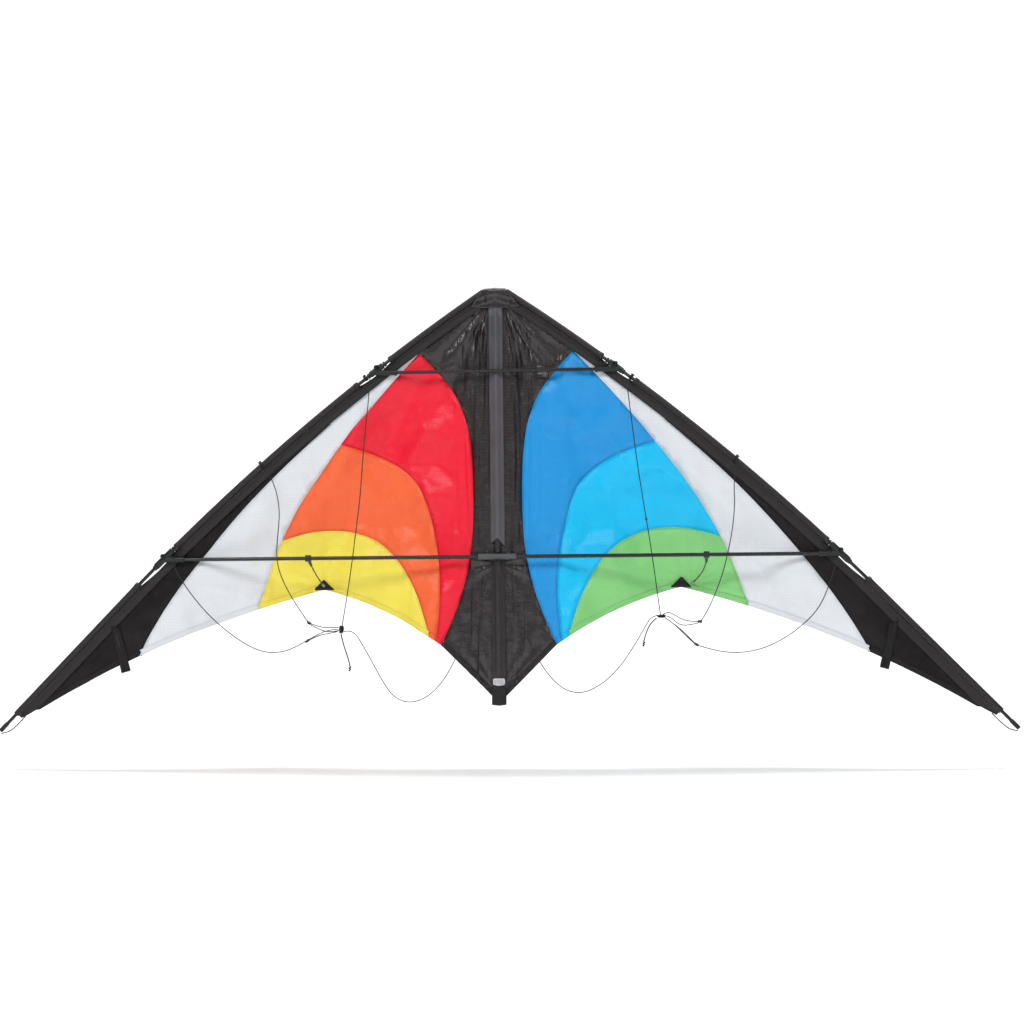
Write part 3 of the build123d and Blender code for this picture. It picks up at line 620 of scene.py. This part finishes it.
def arc_curve(start, middle, end, step=0.003):
    """Points a step apart along the circle through three points."""
    (ax, az), (bx, bz), (cx, cz) = start, middle, end
    double = 2 * (ax * (bz - cz) + bx * (cz - az) + cx * (az - bz))
    squares = [ax * ax + az * az, bx * bx + bz * bz, cx * cx + cz * cz]
    ux = (squares[0] * (bz - cz) + squares[1] * (cz - az) + squares[2] * (az - bz)) / double
    uz = (squares[0] * (cx - bx) + squares[1] * (ax - cx) + squares[2] * (bx - ax)) / double
    radius = math.hypot(ax - ux, az - uz)
    first = math.atan2(az - uz, ax - ux)
    sweep = (math.atan2(cz - uz, cx - ux) - first + math.pi) % (2 * math.pi) - math.pi
    count = max(int(abs(sweep) * radius / step), 2)
    angles = [first + sweep * i / count for i in range(count + 1)]
    return [(ux + radius * math.cos(angle), uz + radius * math.sin(angle)) for angle in angles]


def straight(start, end, step=0.003):
    count = max(int(math.hypot(end[0] - start[0], end[1] - start[1]) / step), 1)
    return [(start[0] + (end[0] - start[0]) * i / count, start[1] + (end[1] - start[1]) * i / count)
            for i in range(count + 1)]


# Seams and trailing edge of the right half, in the XZ plane.
TE_TAIL = (0.011, -0.509)
TE_BLACK = (0.091, -0.4285)
TE_INNER_MIDDLE = (0.195, -0.3705)
TE_STANDOFF = (0.285, -0.341)
TE_OUTER_MIDDLE = (0.480, -0.403)
TE_TIP = (0.7358, -0.527)
SEAM_CENTER = [(0.122, 0.031), (0.0625, -0.042), (0.0385, -0.172), (0.051, -0.323), (0.091, -0.4285),
               (0.112, -0.470)]
SEAM_OUTER = [(0.1135, 0.0385), (0.1725, -0.0245), (0.267, -0.137), (0.359, -0.286), (0.387, -0.360),
              (0.398, -0.390)]
SEAM_TIP = [(0.262, -0.078), (0.366, -0.173), (0.468, -0.286), (0.550, -0.398), (0.598, -0.484)]
SEAM_CREST_HIGH = [(0.262, -0.108), (0.178, -0.136), (0.130, -0.173), (0.107, -0.232), (0.093, -0.330),
                   (0.103, -0.450)]
SEAM_CREST_LOW = [(0.366, -0.269), (0.300, -0.249), (0.255, -0.247), (0.193, -0.267), (0.144, -0.323),
                  (0.103, -0.440)]
SEAMS = [smooth_curve(seam) for seam in (SEAM_CENTER, SEAM_OUTER, SEAM_TIP, SEAM_CREST_HIGH,
                                         SEAM_CREST_LOW)]
AREAS = {
    "center": SEAMS[0] + [(0, -0.56), (0, 0.16), (0.122, 0.16)],
    "lobe": SEAMS[1] + [(0.06, -0.46), (0, -0.46), (0, 0.06)],
    "tip": SEAMS[2] + [(0.8, -0.6), (0.85, -0.078)],
    "high": SEAMS[3] + [(0.42, -0.45), (0.42, -0.108)],
    "low": SEAMS[4] + [(0.42, -0.45), (0.42, -0.269)],
}
TUCK = 0.0145
le_edge = [(p.x, p.z) for p in (le_offset(s, TUCK) for s in np.linspace(0.034, 0.982, 310))]
te_curve = arc_curve(TE_TIP, TE_OUTER_MIDDLE, TE_STANDOFF)
te_curve += arc_curve(TE_STANDOFF, TE_INNER_MIDDLE, TE_BLACK)[1:]
te_curve += straight(TE_BLACK, TE_TAIL)[1:]


def inside(points, loop):
    """For each point, True if it is inside the closed loop."""
    points, start = np.array(points, float), np.array(loop, float)
    end = np.roll(start, -1, axis=0)
    odd = np.zeros(len(points), bool)
    for (ax, az), (bx, bz) in zip(start, end):
        if az != bz:
            crosses = (az > points[:, 1]) != (bz > points[:, 1])
            odd ^= crosses & (points[:, 0] < ax + (points[:, 1] - az) * (bx - ax) / (bz - az))
    return odd


def panels_at(points):
    """Name and colour of the panel at each point of the sail."""
    places = np.array(points, float)
    within = {name: inside(np.c_[np.abs(places[:, 0]), places[:, 1]], loop)
              for name, loop in AREAS.items()}
    found = []
    for i, x in enumerate(places[:, 0]):
        side = "left" if x < 0 else "right"
        level = 2 if within["low"][i] else 1 if within["high"][i] else 0
        colour = (("red", "orange", "yellow") if x < 0 else ("blue", "cyan", "green"))[level]
        if within["center"][i]:
            found.append(("center_panel", "black"))
        elif within["tip"][i]:
            found.append((f"{side}_black_tip_panel", "tip"))
        elif within["lobe"][i]:
            found.append((f"{side}_{colour}_panel", colour))
        else:
            found.append((f"{side}_white_panel", "white"))
    return found


def flat_mesh(loop, seams, pitch, fine_half=0.0):
    """Triangles filling a loop in the XZ plane, with edges along the seams.

    They are half as large where x is within fine_half of the spine.
    """
    places = list(loop)
    edges = [(i, (i + 1) % len(loop)) for i in range(len(loop))]
    for seam in seams:
        start = len(places)
        places += seam
        edges += [(start + i, start + i + 1) for i in range(len(seam) - 1)]
    fixed = np.array(places)
    low, high = fixed.min(0), fixed.max(0)
    grid = []
    for size, is_fine in ((pitch, False), (pitch / 2, True)):
        for row in range(1, int((high[1] - low[1]) / (size * 0.866)) + 1):
            z = low[1] + row * size * 0.866
            columns = np.arange(low[0] + size * (0.25 + 0.5 * (row % 2)), high[0], size)
            grid += [(x, z) for x in columns if (abs(x) < fine_half) == is_fine]
    cell = pitch * 0.6
    taken = set()
    for x, z in fixed:
        column, row = math.floor(x / cell), math.floor(z / cell)
        taken.update((column + i, row + j) for i in (-1, 0, 1) for j in (-1, 0, 1))
    keep = [(x, z) for x, z in grid if (math.floor(x / cell), math.floor(z / cell)) not in taken]
    points = [Vector(p) for p in places + keep]
    vertices, _, faces, *_ = delaunay_2d_cdt(points, edges, [], 0, 1e-6)
    spots = np.array([tuple(v) for v in vertices])
    centres = np.array([spots[face].mean(0) for face in faces])
    filled = inside(centres, loop)
    return vertices, [face for face, kept in zip(faces, filled) if kept], centres[filled]


def cloth_area(vertices, faces):
    """Area of the faces, each a triangle or a quad."""
    total = 0.0
    for face in faces:
        for i in range(1, len(face) - 1):
            a, b, c = (Vector(vertices[corner]) for corner in (face[0], face[i], face[i + 1]))
            total += (b - a).cross(c - a).length / 2
    return total


LEAST_SHARE = 0.3  # of its two widths' product, for the area of a panel
MOST_SHARE = 1.001
SQUARE_SPARE = 1.4


def declare_sheet(vertices, faces):
    """Works out a panel's cut widths: its own, or a larger square's for a slanted one, and keeps
    neither.
    """
    spots = np.array([tuple(v) for v in vertices])
    width, depth, height = spots.max(0) - spots.min(0)
    area = cloth_area(vertices, faces)
    length = math.hypot(height, depth)
    if not LEAST_SHARE * width * length <= area <= MOST_SHARE * width * length:
        width = length = math.sqrt(area * SQUARE_SPARE)


# ---- sail panels ----
half = [(0.0, 0.126), (0.020, 0.126)] + le_edge + te_curve
half_loop = half + [TAIL_GATHER]
loop = half_loop + [(-x, z) for x, z in reversed(half) if x > 0]
seam_lines = SEAMS + [mirror(line, -1) for line in SEAMS]
flat_vertices, flat_faces, flat_centres = flat_mesh(loop, seam_lines, 0.0050, 0.080)
depths = [surface_y(v.x, v.y) for v in flat_vertices]
panels = {}
for face, panel in zip(flat_faces, panels_at(flat_centres)):
    panels.setdefault(panel, []).append(face)
for (panel_name, colour_name), faces in panels.items():
    used = sorted({i for face in faces for i in face})
    renumber = {old: new for new, old in enumerate(used)}
    vertices = [(flat_vertices[i].x, depths[i], flat_vertices[i].y) for i in used]
    faces = [[renumber[i] for i in face] for face in faces]
    sail = mesh_object(f"{panel_name}_cloth", vertices, faces, cloths[colour_name], CLOTH)
    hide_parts(panel_name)
    declare_sheet(vertices, faces)


def directions(path):
    """Unit vector along the path at each of its points."""
    return [Vector((after[0] - before[0], after[1] - before[1])).normalized()
            for before, after in zip(path[:1] + path[:-1], path[1:] + path[-1:])]


def shifted(path, amount):
    """The path moved sideways, to its left where positive."""
    return [(x - run.y * amount, z + run.x * amount) for (x, z), run in zip(path, directions(path))]


def ribbon(name, path, half_width, offset, material, thickness=CLOTH, across=5, depth=surface_y):
    """Tape sewn along a path on the sail, offset towards the back (+) or the front (-)."""
    vertices = []
    for (x, z), run in zip(path, directions(path)):
        for j in range(across):
            t = (j / (across - 1) * 2 - 1) * half_width
            px, pz = x - run.y * t, z + run.x * t
            vertices.append((px, depth(px, pz) + offset, pz))
    return mesh_object(name, vertices, grid_faces(len(path), across), material, thickness)


STITCH_PITCH = 0.0032
STITCH_LENGTH = 0.0023
STITCH_R = 0.0002
STITCH_RINGS = ((-0.5, 0.35), (-0.25, 1.0), (0.25, 1.0), (0.5, 0.35))  # place along it, swell


def stitches(name, paths, material=thread_black, pitch=STITCH_PITCH):
    """Rows of small stitches: each a short six-sided bead of thread along its path."""
    vertices, faces = [], []
    for path in paths:
        spots = [Vector(p) for p in path]
        travelled = following = 0.0
        for a, b in zip(spots, spots[1:]):
            span = (b - a).length
            while span > 0 and following <= travelled + span:
                along = (b - a).normalized()
                centre = a + along * (following - travelled)
                side = along.cross(Vector((0, 1, 0))).normalized()
                up = side.cross(along)
                start = len(vertices)
                for reach, swell in STITCH_RINGS:
                    for k in range(6):
                        angle = k * math.pi / 3
                        edge = (side * math.cos(angle) + up * math.sin(angle)) * STITCH_R * swell
                        vertices.append(centre + along * reach * STITCH_LENGTH + edge)
                for base in (start, start + 6, start + 12):
                    faces += [(base + k, base + (k + 1) % 6, base + 6 + (k + 1) % 6, base + 6 + k)
                              for k in range(6)]
                faces += [range(start + 5, start - 1, -1), range(start + 18, start + 24)]
                following += pitch
            travelled += span
    return mesh_object(name, vertices, faces, material, 0.0)


def on_front(path, gap):
    """The path in space, with a gap between it and the front of the sail."""
    return [(x, surface_y(x, z) - gap, z) for x, z in path]


def by_colour(path, found):
    """Add the path's stretches to lists of paths, one list for each panel's colour."""
    last = None
    for point, (_, colour_name) in zip(path, panels_at(path)):
        if colour_name != last:
            found.setdefault(colour_name, []).append([])
            last = colour_name
        found[colour_name][-1].append(point)


# ---- hems, seam tapes and their stitches, each in its panel's own cloth ----
HEM = 0.0045
HEM_HALF = 0.0042
HEM_GAP = 0.0009
HEM_ROW = 0.0014
TAPE_HALF = 0.0035
TAPE_GAP = 0.0019
SEAM_ROW = 0.0022
COLOUR_NUDGE = 0.006
for side, sign in SIDES.items():
    # Hems along the trailing edge, front and back.
    hem_path = mirror(shifted(te_curve, -HEM), sign)
    pieces = {}
    for point, panel in zip(hem_path, panels_at(hem_path)):
        pieces.setdefault(panel, []).append(point)
    for (panel_name, colour_name), path in pieces.items():
        if len(path) < 3:
            continue
        for face_name, offset in (("front", -HEM_GAP), ("back", HEM_GAP)):
            ribbon(f"{side}_{panel_name}_hem_{face_name}", path, HEM_HALF, offset,
                   hem_cloths[colour_name])

    # Seam tapes on the back, in the cloth of the panel outside and below them, and rows of stitches.
    rows = {}
    by_colour(mirror(shifted(te_curve, -2 * HEM + HEM_ROW), sign), rows)
    for number, seam in enumerate(SEAMS, 1):
        shown = inside(seam, half_loop)
        if number > 3:  # the crests are sewn only between the coloured panels
            shown &= inside(seam, AREAS["lobe"]) & ~inside(seam, AREAS["center"])
        path = mirror([point for point, kept in zip(seam, shown) if kept], sign)
        x, z = path[len(path) // 2]
        _, colour_name = panels_at([(x + sign * COLOUR_NUDGE, z - COLOUR_NUDGE)])[0]
        ribbon(f"{side}_seam_tape_{number}", path, TAPE_HALF, TAPE_GAP, hem_cloths[colour_name])
        for offset in (SEAM_ROW, -SEAM_ROW):
            by_colour(shifted(path, offset), rows)
    for colour_name, paths in rows.items():
        stitches(f"{side}_{colour_name}_stitches", [on_front(path, 0.0005) for path in paths],
                 hem_cloths[colour_name])


# ---- leading edge sleeves ----
WINDOWS = ((le_station(0.0) - 0.032, le_station(0.0) + 0.029),
           (le_station(LOWER_SPREADER_Z) - 0.028, le_station(LOWER_SPREADER_Z) + 0.055))
WINDOW_DEPTHS = (0.0056, 0.0064)
BAND_FRONT = BAND_Y - 0.0005
BAND_BACK = BAND_Y + 0.0001
CUT_INWARD = 0.0070
CUT_ROOT = 0.0026
SLEEVE_STEP = 0.0028
TAPER_START_S = 0.975
TAPER_LENGTH = 0.0295
TAPERED_WIDTH = 0.0098
SLEEVE_ROWS = (0.0098, 0.0174)
CUT_HEM_REACHES = (0.0, 0.0035, 0.0070)
CUT_HEM_SCALES = (1.10, 1.14, 1.10)


def sleeve_section():
    """Closed section of the sleeve: (inward, back) pairs round the rod and along the band."""
    band = (BAND_WIDTH, 0.0165, 0.0125, 0.0095)
    section = [(inward, BAND_FRONT) for inward in band] + [(0.0078, 0.0047), (0.0060, 0.0036)]
    for degree in range(30, -271, -20):
        angle = math.radians(degree)
        section.append((SLEEVE_R * math.cos(angle), SLEEVE_R * math.sin(angle)))
    section += [(0.0030, 0.0052), (0.0062, BAND_BACK)]
    return section + [(inward, BAND_BACK) for inward in reversed(band)]


def le_sleeve(side, sign):
    section = sleeve_section()
    edges = [edge for window in WINDOWS for edge in window]
    stops = sorted({*np.arange(0.002, SLEEVE_END_S, SLEEVE_STEP), SLEEVE_END_S, *edges})
    vertices, faces = [], []
    for s in stops:
        slack = 0.0005 * math.exp(-min(abs(s - edge) for edge in edges) / 0.012)
        cut = None
        for (low, high), depth in zip(WINDOWS, WINDOW_DEPTHS):
            if low <= s <= high:
                bow = math.sin(math.pi * (s - low) / (high - low)) ** 0.8
                cut = CUT_ROOT + (depth - CUT_ROOT) * bow
        for inward, back in section:
            if cut and 0.0059 < inward < 0.0063:
                inward = cut
            tail = max(s - TAPER_START_S, 0.0) / TAPER_LENGTH
            reach = inward if inward < 0.010 else inward - tail * (inward - TAPERED_WIDTH)
            rumple = noise.noise(Vector((s * 60 * sign, inward * 180, back * 180)))
            swell = 0.035 * rumple + slack * 60 * max(rumple, 0)
            grow = 1 + swell * (1 if abs(back) > 0.001 else 0.6)
            if inward > 0.009:
                wave = 0.0003 * noise.noise(Vector((s * 45, inward * 60, sign * 3.0)))
                vertices.append(le_offset(s, reach, back + wave, sign))
            else:
                vertices.append(le_offset(s, inward * grow, back * grow, sign))
    for corner in grid_faces(len(stops), len(section)):
        i, j = divmod(corner[0], len(section))
        middle = (stops[i] + stops[i + 1]) / 2
        open_here = any(low < middle < high for low, high in WINDOWS)
        if not (open_here and max(section[j][0], section[j + 1][0]) < CUT_INWARD):
            faces.append(corner if sign > 0 else corner[::-1])
    made = mesh_object(f"{side}_sleeve", vertices, faces, sleeve_cloth, HEAVY_CLOTH)
    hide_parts(f"{side}_leading_edge_sleeve")
    ends = [0.03, *edges, TAPER_START_S]
    rows = [[le_offset(s, inward, BAND_FRONT - 0.0006, sign) for s in np.arange(low, high, 0.004)]
            for inward in SLEEVE_ROWS for low, high in zip(ends, ends[1:])]
    stitches(f"{side}_sleeve_stitches", rows, pitch=0.0036)
    ring = [(inward, back) for inward, back in section if inward < 0.0079]
    for number, window in enumerate(WINDOWS, 1):
        for end, s in zip(("upper", "lower"), window):
            outward = -1 if end == "upper" else 1
            wrap = [le_offset(s + outward * reach, inward * scale, back * scale, sign)
                    for reach, scale in zip(CUT_HEM_REACHES, CUT_HEM_SCALES) for inward, back in ring]
            mesh_object(f"{side}_cutout_{number}_{end}_hem", wrap, grid_faces(3, len(ring)),
                        sleeve_cloth, HEAVY_CLOTH)


for side, sign in SIDES.items():
    le_sleeve(side, sign)


# ---- nose: cloth folded over the top, resting on the bands and the spine below ----
NOSE_FRONT_Y = -0.0058
NOSE_BACK_Y = 0.0140
NOSE_LOW_Z = 0.0992
STRIP_HALF = 0.011


def smooth_step(share):
    share = clamp(share)
    return share * share * (3 - 2 * share)


def nose_half(z):
    return 0.016 + (NOSE_Z - z) * 0.8


def nose_front(x, z):
    """Depth of the nose cloth's front: forward over the spar ends, back between them."""
    fall = smooth_step((0.121 - 0.30 * abs(x) - z) / 0.012)
    over_spine = bell(x, 0.007)
    pleats = 0.0009 * math.cos(x * 520 + 60 * (z - 0.1) * (1 if x > 0 else -1)) * (1 - over_spine)
    return NOSE_FRONT_Y + fall * (0.0104 - 0.0017 * over_spine) + pleats


def folded_cloth(name, front, back, edge_z, open_z, half_width, material, across):
    """Cloth folded over an edge: front and back give its two faces' depths."""
    direction = 1 if edge_z > open_z else -1
    crown = 0.004
    start_z = edge_z - direction * crown
    faces_z = [open_z + (start_z - open_z) * t for t in np.linspace(0, 1, 14)]
    turns = np.linspace(0, math.pi, 11)[1:-1]
    columns = np.linspace(-1, 1, across)
    vertices = []
    for z in faces_z:
        vertices += [(t * half_width(z), front(t * half_width(z), z), z) for t in columns]
    for turn in turns:
        z = edge_z - direction * crown * (1 - math.sin(turn))
        for t in columns:
            x = t * half_width(z)
            share = (1 - math.cos(turn)) / 2
            hump = direction * 0.0012 * bell(x, 0.007) * math.sin(turn)
            vertices.append((x, front(x, start_z) * (1 - share) + back(x, start_z) * share, z + hump))
    for z in reversed(faces_z):
        vertices += [(t * half_width(z), back(t * half_width(z), z), z) for t in columns]
    faces = grid_faces(2 * len(faces_z) + len(turns), across)
    return mesh_object(name, vertices, faces, material, 0.0009)


nose = folded_cloth("nose_cloth", nose_front, lambda x, z: NOSE_BACK_Y + 0.0004 * math.cos(x * 300),
                    NOSE_Z, NOSE_LOW_Z, nose_half, cloths["black"], 45)
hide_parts("nose_patch")
tail = folded_cloth("tail_webbing", lambda x, z: 0.0028 - 0.0004 * math.cos(x * 140),
                    lambda x, z: 0.0140 + 0.0004 * math.cos(x * 140), -0.522, -0.4922,
                    lambda z: STRIP_HALF, webbing_black, 15)
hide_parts("tail_tab")


# ---- spine sleeve: a strip down the front of the sail, raised over the spine ----
STRIP_Y = 0.0104
RIDGE_WIDTH = 0.0062


def strip_y(x, z):
    """Front of the spine strip: a soft ridge, sharper over the tee, tucked in behind the nose cloth."""
    soft_ridge = 0.0068 * bell(x, RIDGE_WIDTH)
    tee_ridge = 0.0081 * bell(x, 0.0053, 4)
    ridge = soft_ridge + (tee_ridge - soft_ridge) * bell(z - LOWER_SPREADER_Z, 0.019, 4)
    pucker = 0.0004 * ripple(x, z, 160, 26, 2.0)
    y = STRIP_Y - ridge + pucker * (0.4 + min(abs(x) / 0.008, 1.0))
    rise = smooth_step((z - 0.084) / 0.014)
    return y + (nose_front(x, z) + 0.0013 - y) * rise


def spine_strip(name, top, low, material, behind=0.0):
    """Strip between a top edge and a low edge, each a height for every x."""
    columns = np.linspace(-STRIP_HALF, STRIP_HALF, 23)
    rows = max(int((top(0) - low(0)) / 0.0035), 2)
    vertices = []
    for i in range(rows + 1):
        for x in columns:
            z = top(x) + (low(x) - top(x)) * i / rows
            vertices.append((x, strip_y(x, z) + behind, z))
    faces = grid_faces(rows + 1, len(columns))
    made = mesh_object(name, vertices, faces, material, HEAVY_CLOTH)
    length = top(0) - low(0)
    return made


TEE_CLEAR = 0.0052
NOTCH_TOP_Z = -0.262
STRIP_TOP_Z = 0.1060
STRIP_LOW_Z = -0.4895


def notch_z(x):
    """Height of the notch's edge over the tee: steeper on its right."""
    return NOTCH_TOP_Z - (1.30 * x if x > 0 else -0.80 * x)


# The upper strip takes the grey cloth with its painted sheen.
upper_strip = spine_strip("spine_strip_upper", lambda x: STRIP_TOP_Z, notch_z, spine_sheen_cloth)
spine_strip("spine_notch_cloth", lambda x: notch_z(x) + 0.003,
            lambda x: LOWER_SPREADER_Z + TEE_CLEAR, cloths["black"], 0.0006)
spine_strip("spine_strip_lower", lambda x: LOWER_SPREADER_Z - TEE_CLEAR, lambda x: STRIP_LOW_Z,
            spine_low_cloth)
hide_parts("spine_sleeve")
strip_rows = [[(x, strip_y(x, z) - 0.0006, z) for z in np.arange(high, low, -0.003)]
              for x in (-0.0100, 0.0100) for high, low in ((0.0975, -0.274), (-0.297, -0.488))]
stitches("spine_strip_stitches", strip_rows)
notch_path = [(x, notch_z(x) + 0.0005) for x in np.linspace(-STRIP_HALF, STRIP_HALF, 25)]
ribbon("spine_notch_binding", notch_path, 0.0008, -0.0007, sleeve_cloth,
       HEAVY_CLOTH, 3, strip_y)

TAIL_ROW_X = 0.0088
TAIL_ROW_Y = 0.0014
edge_rows = []
for sign in SIDES.values():
    for row_z in (0.1010, 0.1030):
        edge_rows.append([(sign * x, nose_front(x, row_z) - 0.0009, row_z)
                          for x in np.arange(0.0015, nose_half(row_z) - 0.0012, 0.003)])
    edge_rows.append([(sign * TAIL_ROW_X, TAIL_ROW_Y, z) for z in np.arange(-0.495, -0.518, -0.003)])
    edge_rows.append([(sign * (TAIL_ROW_X - (-0.497 - z) * 0.9), TAIL_ROW_Y, z)
                      for z in np.arange(-0.497, -0.516, -0.002)])
stitches("webbing_stitches", edge_rows)


# ---- sewn patches: standoff reinforcements, batten pockets and the blank label ----
def no_relief(x, z):
    return 0.0


def cloth_patch(name, corners, offset, material, depth=surface_y, pitch=0.0022, thickness=0.0008,
                relief=no_relief):
    """A patch with the given outline, lying on the sail or the strip."""
    outline = []
    for start, end in zip(corners, corners[1:] + corners[:1]):
        outline += straight(start, end, pitch)[:-1]
    spots, faces, _ = flat_mesh(outline, [], pitch)
    vertices = [(v.x, depth(v.x, v.y) + offset + relief(v.x, v.y), v.y) for v in spots]
    return mesh_object(name, vertices, faces, material, thickness)


def rounded(corners, cut):
    """Corners cut back and rounded by two extra points each."""
    shaped = []
    for i, corner in enumerate(corners):
        corner = Vector(corner)
        before, after = Vector(corners[i - 1]), Vector(corners[(i + 1) % len(corners)])
        into = corner + (before - corner).normalized() * cut
        out = corner + (after - corner).normalized() * cut
        shaped += [tuple(into), tuple((into + out + corner * 2) / 4), tuple(out)]
    return shaped


def closed_path(corners, step):
    """Points a step apart along the sides of a closed outline."""
    return [p for a, b in zip(corners, corners[1:] + corners[:1]) for p in straight(a, b, step)]


PATCH = ((0.2680, -0.3412), (0.3020, -0.3412), (0.2858, -0.3242))
PATCH_ROW = ((0.2735, -0.3392), (0.2965, -0.3392), (0.2858, -0.3274))
for side, sign in SIDES.items():
    triangle = mirror(PATCH, sign)
    patch = cloth_patch(f"{side}_standoff_patch", rounded(triangle, 0.0022), -0.0026, webbing_black)
    row = on_front(closed_path(mirror(PATCH_ROW, sign), 0.002), 0.0033)
    stitches(f"{side}_patch_stitches", [row])
    if side == "left":
        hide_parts("standoff_patches")

POCKET_TOP = (0.6110, -0.3960)
POCKET_END = (0.5960, -0.4680)
POCKET = ((0.604, -0.398), (0.618, -0.394), (0.603, -0.470), (0.589, -0.466))
POCKET_ROW = 0.0062


def pocket_ridges(x, z):
    """Two raised channels along the batten pocket."""
    top, end = Vector(POCKET_TOP), Vector(POCKET_END)
    run = (end - top).normalized()
    off = Vector((abs(x), z)) - top
    across = off.x * run.y - off.y * run.x
    return -0.0011 * bell(abs(across) - 0.0036, 0.0016) - 0.0006


for side, sign in SIDES.items():
    pocket = cloth_patch(f"{side}_batten_pocket", rounded(mirror(POCKET, sign), 0.0015), -0.0020,
                         pocket_cloth, pitch=0.0018, relief=pocket_ridges)
    if side == "left":
        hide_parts("batten_pockets")
    rows = []
    for shift_x, gap in ((-POCKET_ROW, 0.0034), (0.0, 0.0032), (POCKET_ROW, 0.0034)):
        line = [(sign * (x + shift_x), z) for x, z in straight(POCKET_TOP, POCKET_END, 0.003)]
        rows.append(on_front(line, gap))
    stitches(f"{side}_pocket_stitches", rows)


def under_label(x, z):
    """Front of the spine strip where the label lies, without its pucker."""
    return STRIP_Y - 0.0066 * bell(x, RIDGE_WIDTH)


def box_corners(half_width, low, high):
    return [(-half_width, low), (half_width, low), (half_width, high), (-half_width, high)]


label = cloth_patch("blank_woven_label", rounded(box_corners(0.0092, -0.4914, -0.4805), 0.0028), -0.0024,
                    label_cloth, under_label, 0.0013, 0.0006)
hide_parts("blank_label")
border = closed_path(rounded(box_corners(0.0083, -0.4906, -0.4813), 0.0022), 0.0012)
ribbon("label_border", border + border[:1], 0.0005, -0.0030, label_edge, 0.0004, 3, under_label)

# ---- lashings where the bridle is tied to the frame ----
UPPER_LASH_S = {"left": 0.231, "right": 0.2395}
MIDDLE_LASH_S = 0.4445
OUTER_LASH_X = 0.514
for side, sign in SIDES.items():
    for lash_name, s, radius in (("upper", UPPER_LASH_S[side], 0.0036),
                                 ("middle", MIDDLE_LASH_S, 0.0054)):
        x, z, slope = le_point(s)
        direction = (sign * math.cos(slope), 0, -math.sin(slope))
        lashing(f"{side}_{lash_name}_lashing", (sign * x, 0.0, z), direction, radius, 2.5, leader_braid)
        outer = le_offset(s, -radius - 0.0012, -0.0015, sign)
        knot(f"{side}_{lash_name}_tie", outer, direction, 0.0055, 0.0014, turns=2)
    lashing(f"{side}_outer_lashing", (sign * OUTER_LASH_X, 0.0, LOWER_SPREADER_Z), (1, 0, 0), 0.0052, 2,
            line_braid)
    knot(f"{side}_inner_tie", (sign * 0.0028, -0.0066, LOWER_SPREADER_Z - 0.007), (0, 0.5, 1), 0.005,
         0.0014, turns=2)

# ---- finishes of the CAD's own hard parts ----
HARD_FINISHES = {
    "carbon_rod": rod_gloss, "ferrule": ferrule_matte, "fitting": fitting_rubber,
    "nock": nock_plastic, "foot": foot_plastic,
}
for entry in frame["record"]["subparts"]:
    finish = HARD_FINISHES.get(entry["material_slot"])
    # The tee takes the grey rubber with its painted highlight.
    if entry["node"] == "center_tee":
        finish = tee_painted_highlight_rubber
    if finish:
        data = frame["nodes"][entry["node"]].data
        data.materials.clear()
        data.materials.append(finish)

# ---- floor, backdrop and light ----
FLOOR_Z = -0.62
FLOOR_START_Y = -6.0
BEND_START_Y = 4.4
BEND_RADIUS = 0.8
WALL_Y = 5.2
WALL_TOP_Z = 7.0
FLOOR_HALF = 14.0
backdrop_material, _, backdrop_shader = new_material("pale_floor", 0.9)
backdrop_shader.inputs["Base Color"].default_value = (0.93, 0.93, 0.93, 1.0)
profile = [(FLOOR_START_Y, FLOOR_Z), (BEND_START_Y, FLOOR_Z)]
profile += [(BEND_START_Y + BEND_RADIUS * math.sin(a), FLOOR_Z + BEND_RADIUS - BEND_RADIUS * math.cos(a))
            for a in np.linspace(0.1, math.pi / 2, 10)]
profile += [(WALL_Y, WALL_TOP_Z)]
floor_mesh = bpy.data.meshes.new("floor")
floor_mesh.from_pydata([(x, y, z) for x in (-FLOOR_HALF, FLOOR_HALF) for y, z in profile], [],
                       grid_faces(2, len(profile)))
floor_mesh.shade_smooth()
floor_mesh.materials.append(backdrop_material)
floor = bpy.data.objects.new("floor", floor_mesh)
bpy.context.collection.objects.link(floor)


def area_light(name, place, aim, size, power):
    light = bpy.data.lights.new(name, "AREA")
    light.shape = "RECTANGLE"
    light.size, light.size_y = size
    light.energy = power
    lamp = bpy.data.objects.new(name, light)
    bpy.context.collection.objects.link(lamp)
    lamp.location = place
    lamp.rotation_euler = (Vector(aim) - Vector(place)).to_track_quat("-Z", "Y").to_euler()


KITE_MIDDLE = (0, 0, -0.2)
area_light("key_light", (-1.3, -2.8, 2.0), KITE_MIDDLE, (1.3, 0.9), 48)
area_light("second_light", (1.5, -2.8, 1.9), KITE_MIDDLE, (1.2, 0.8), 32)
area_light("top_light", (0.0, -0.4, 2.6), KITE_MIDDLE, (3.0, 1.2), 15)
area_light("floor_light", (0.0, 0.45, 1.9), (0, 1.5, -0.3), (3.2, 0.4), 66)
area_light("backdrop_light", (0.0, 3.4, 3.2), (0, 5.6, 0.9), (6.0, 1.0), 150)
world = bpy.data.worlds.new("studio")
world.use_nodes = True
world.node_tree.nodes["Background"].inputs[0].default_value = (1.0, 1.0, 1.0, 1.0)
world.node_tree.nodes["Background"].inputs[1].default_value = 0.25
bpy.context.scene.world = world
bpy.context.scene.view_settings.view_transform = "Standard"
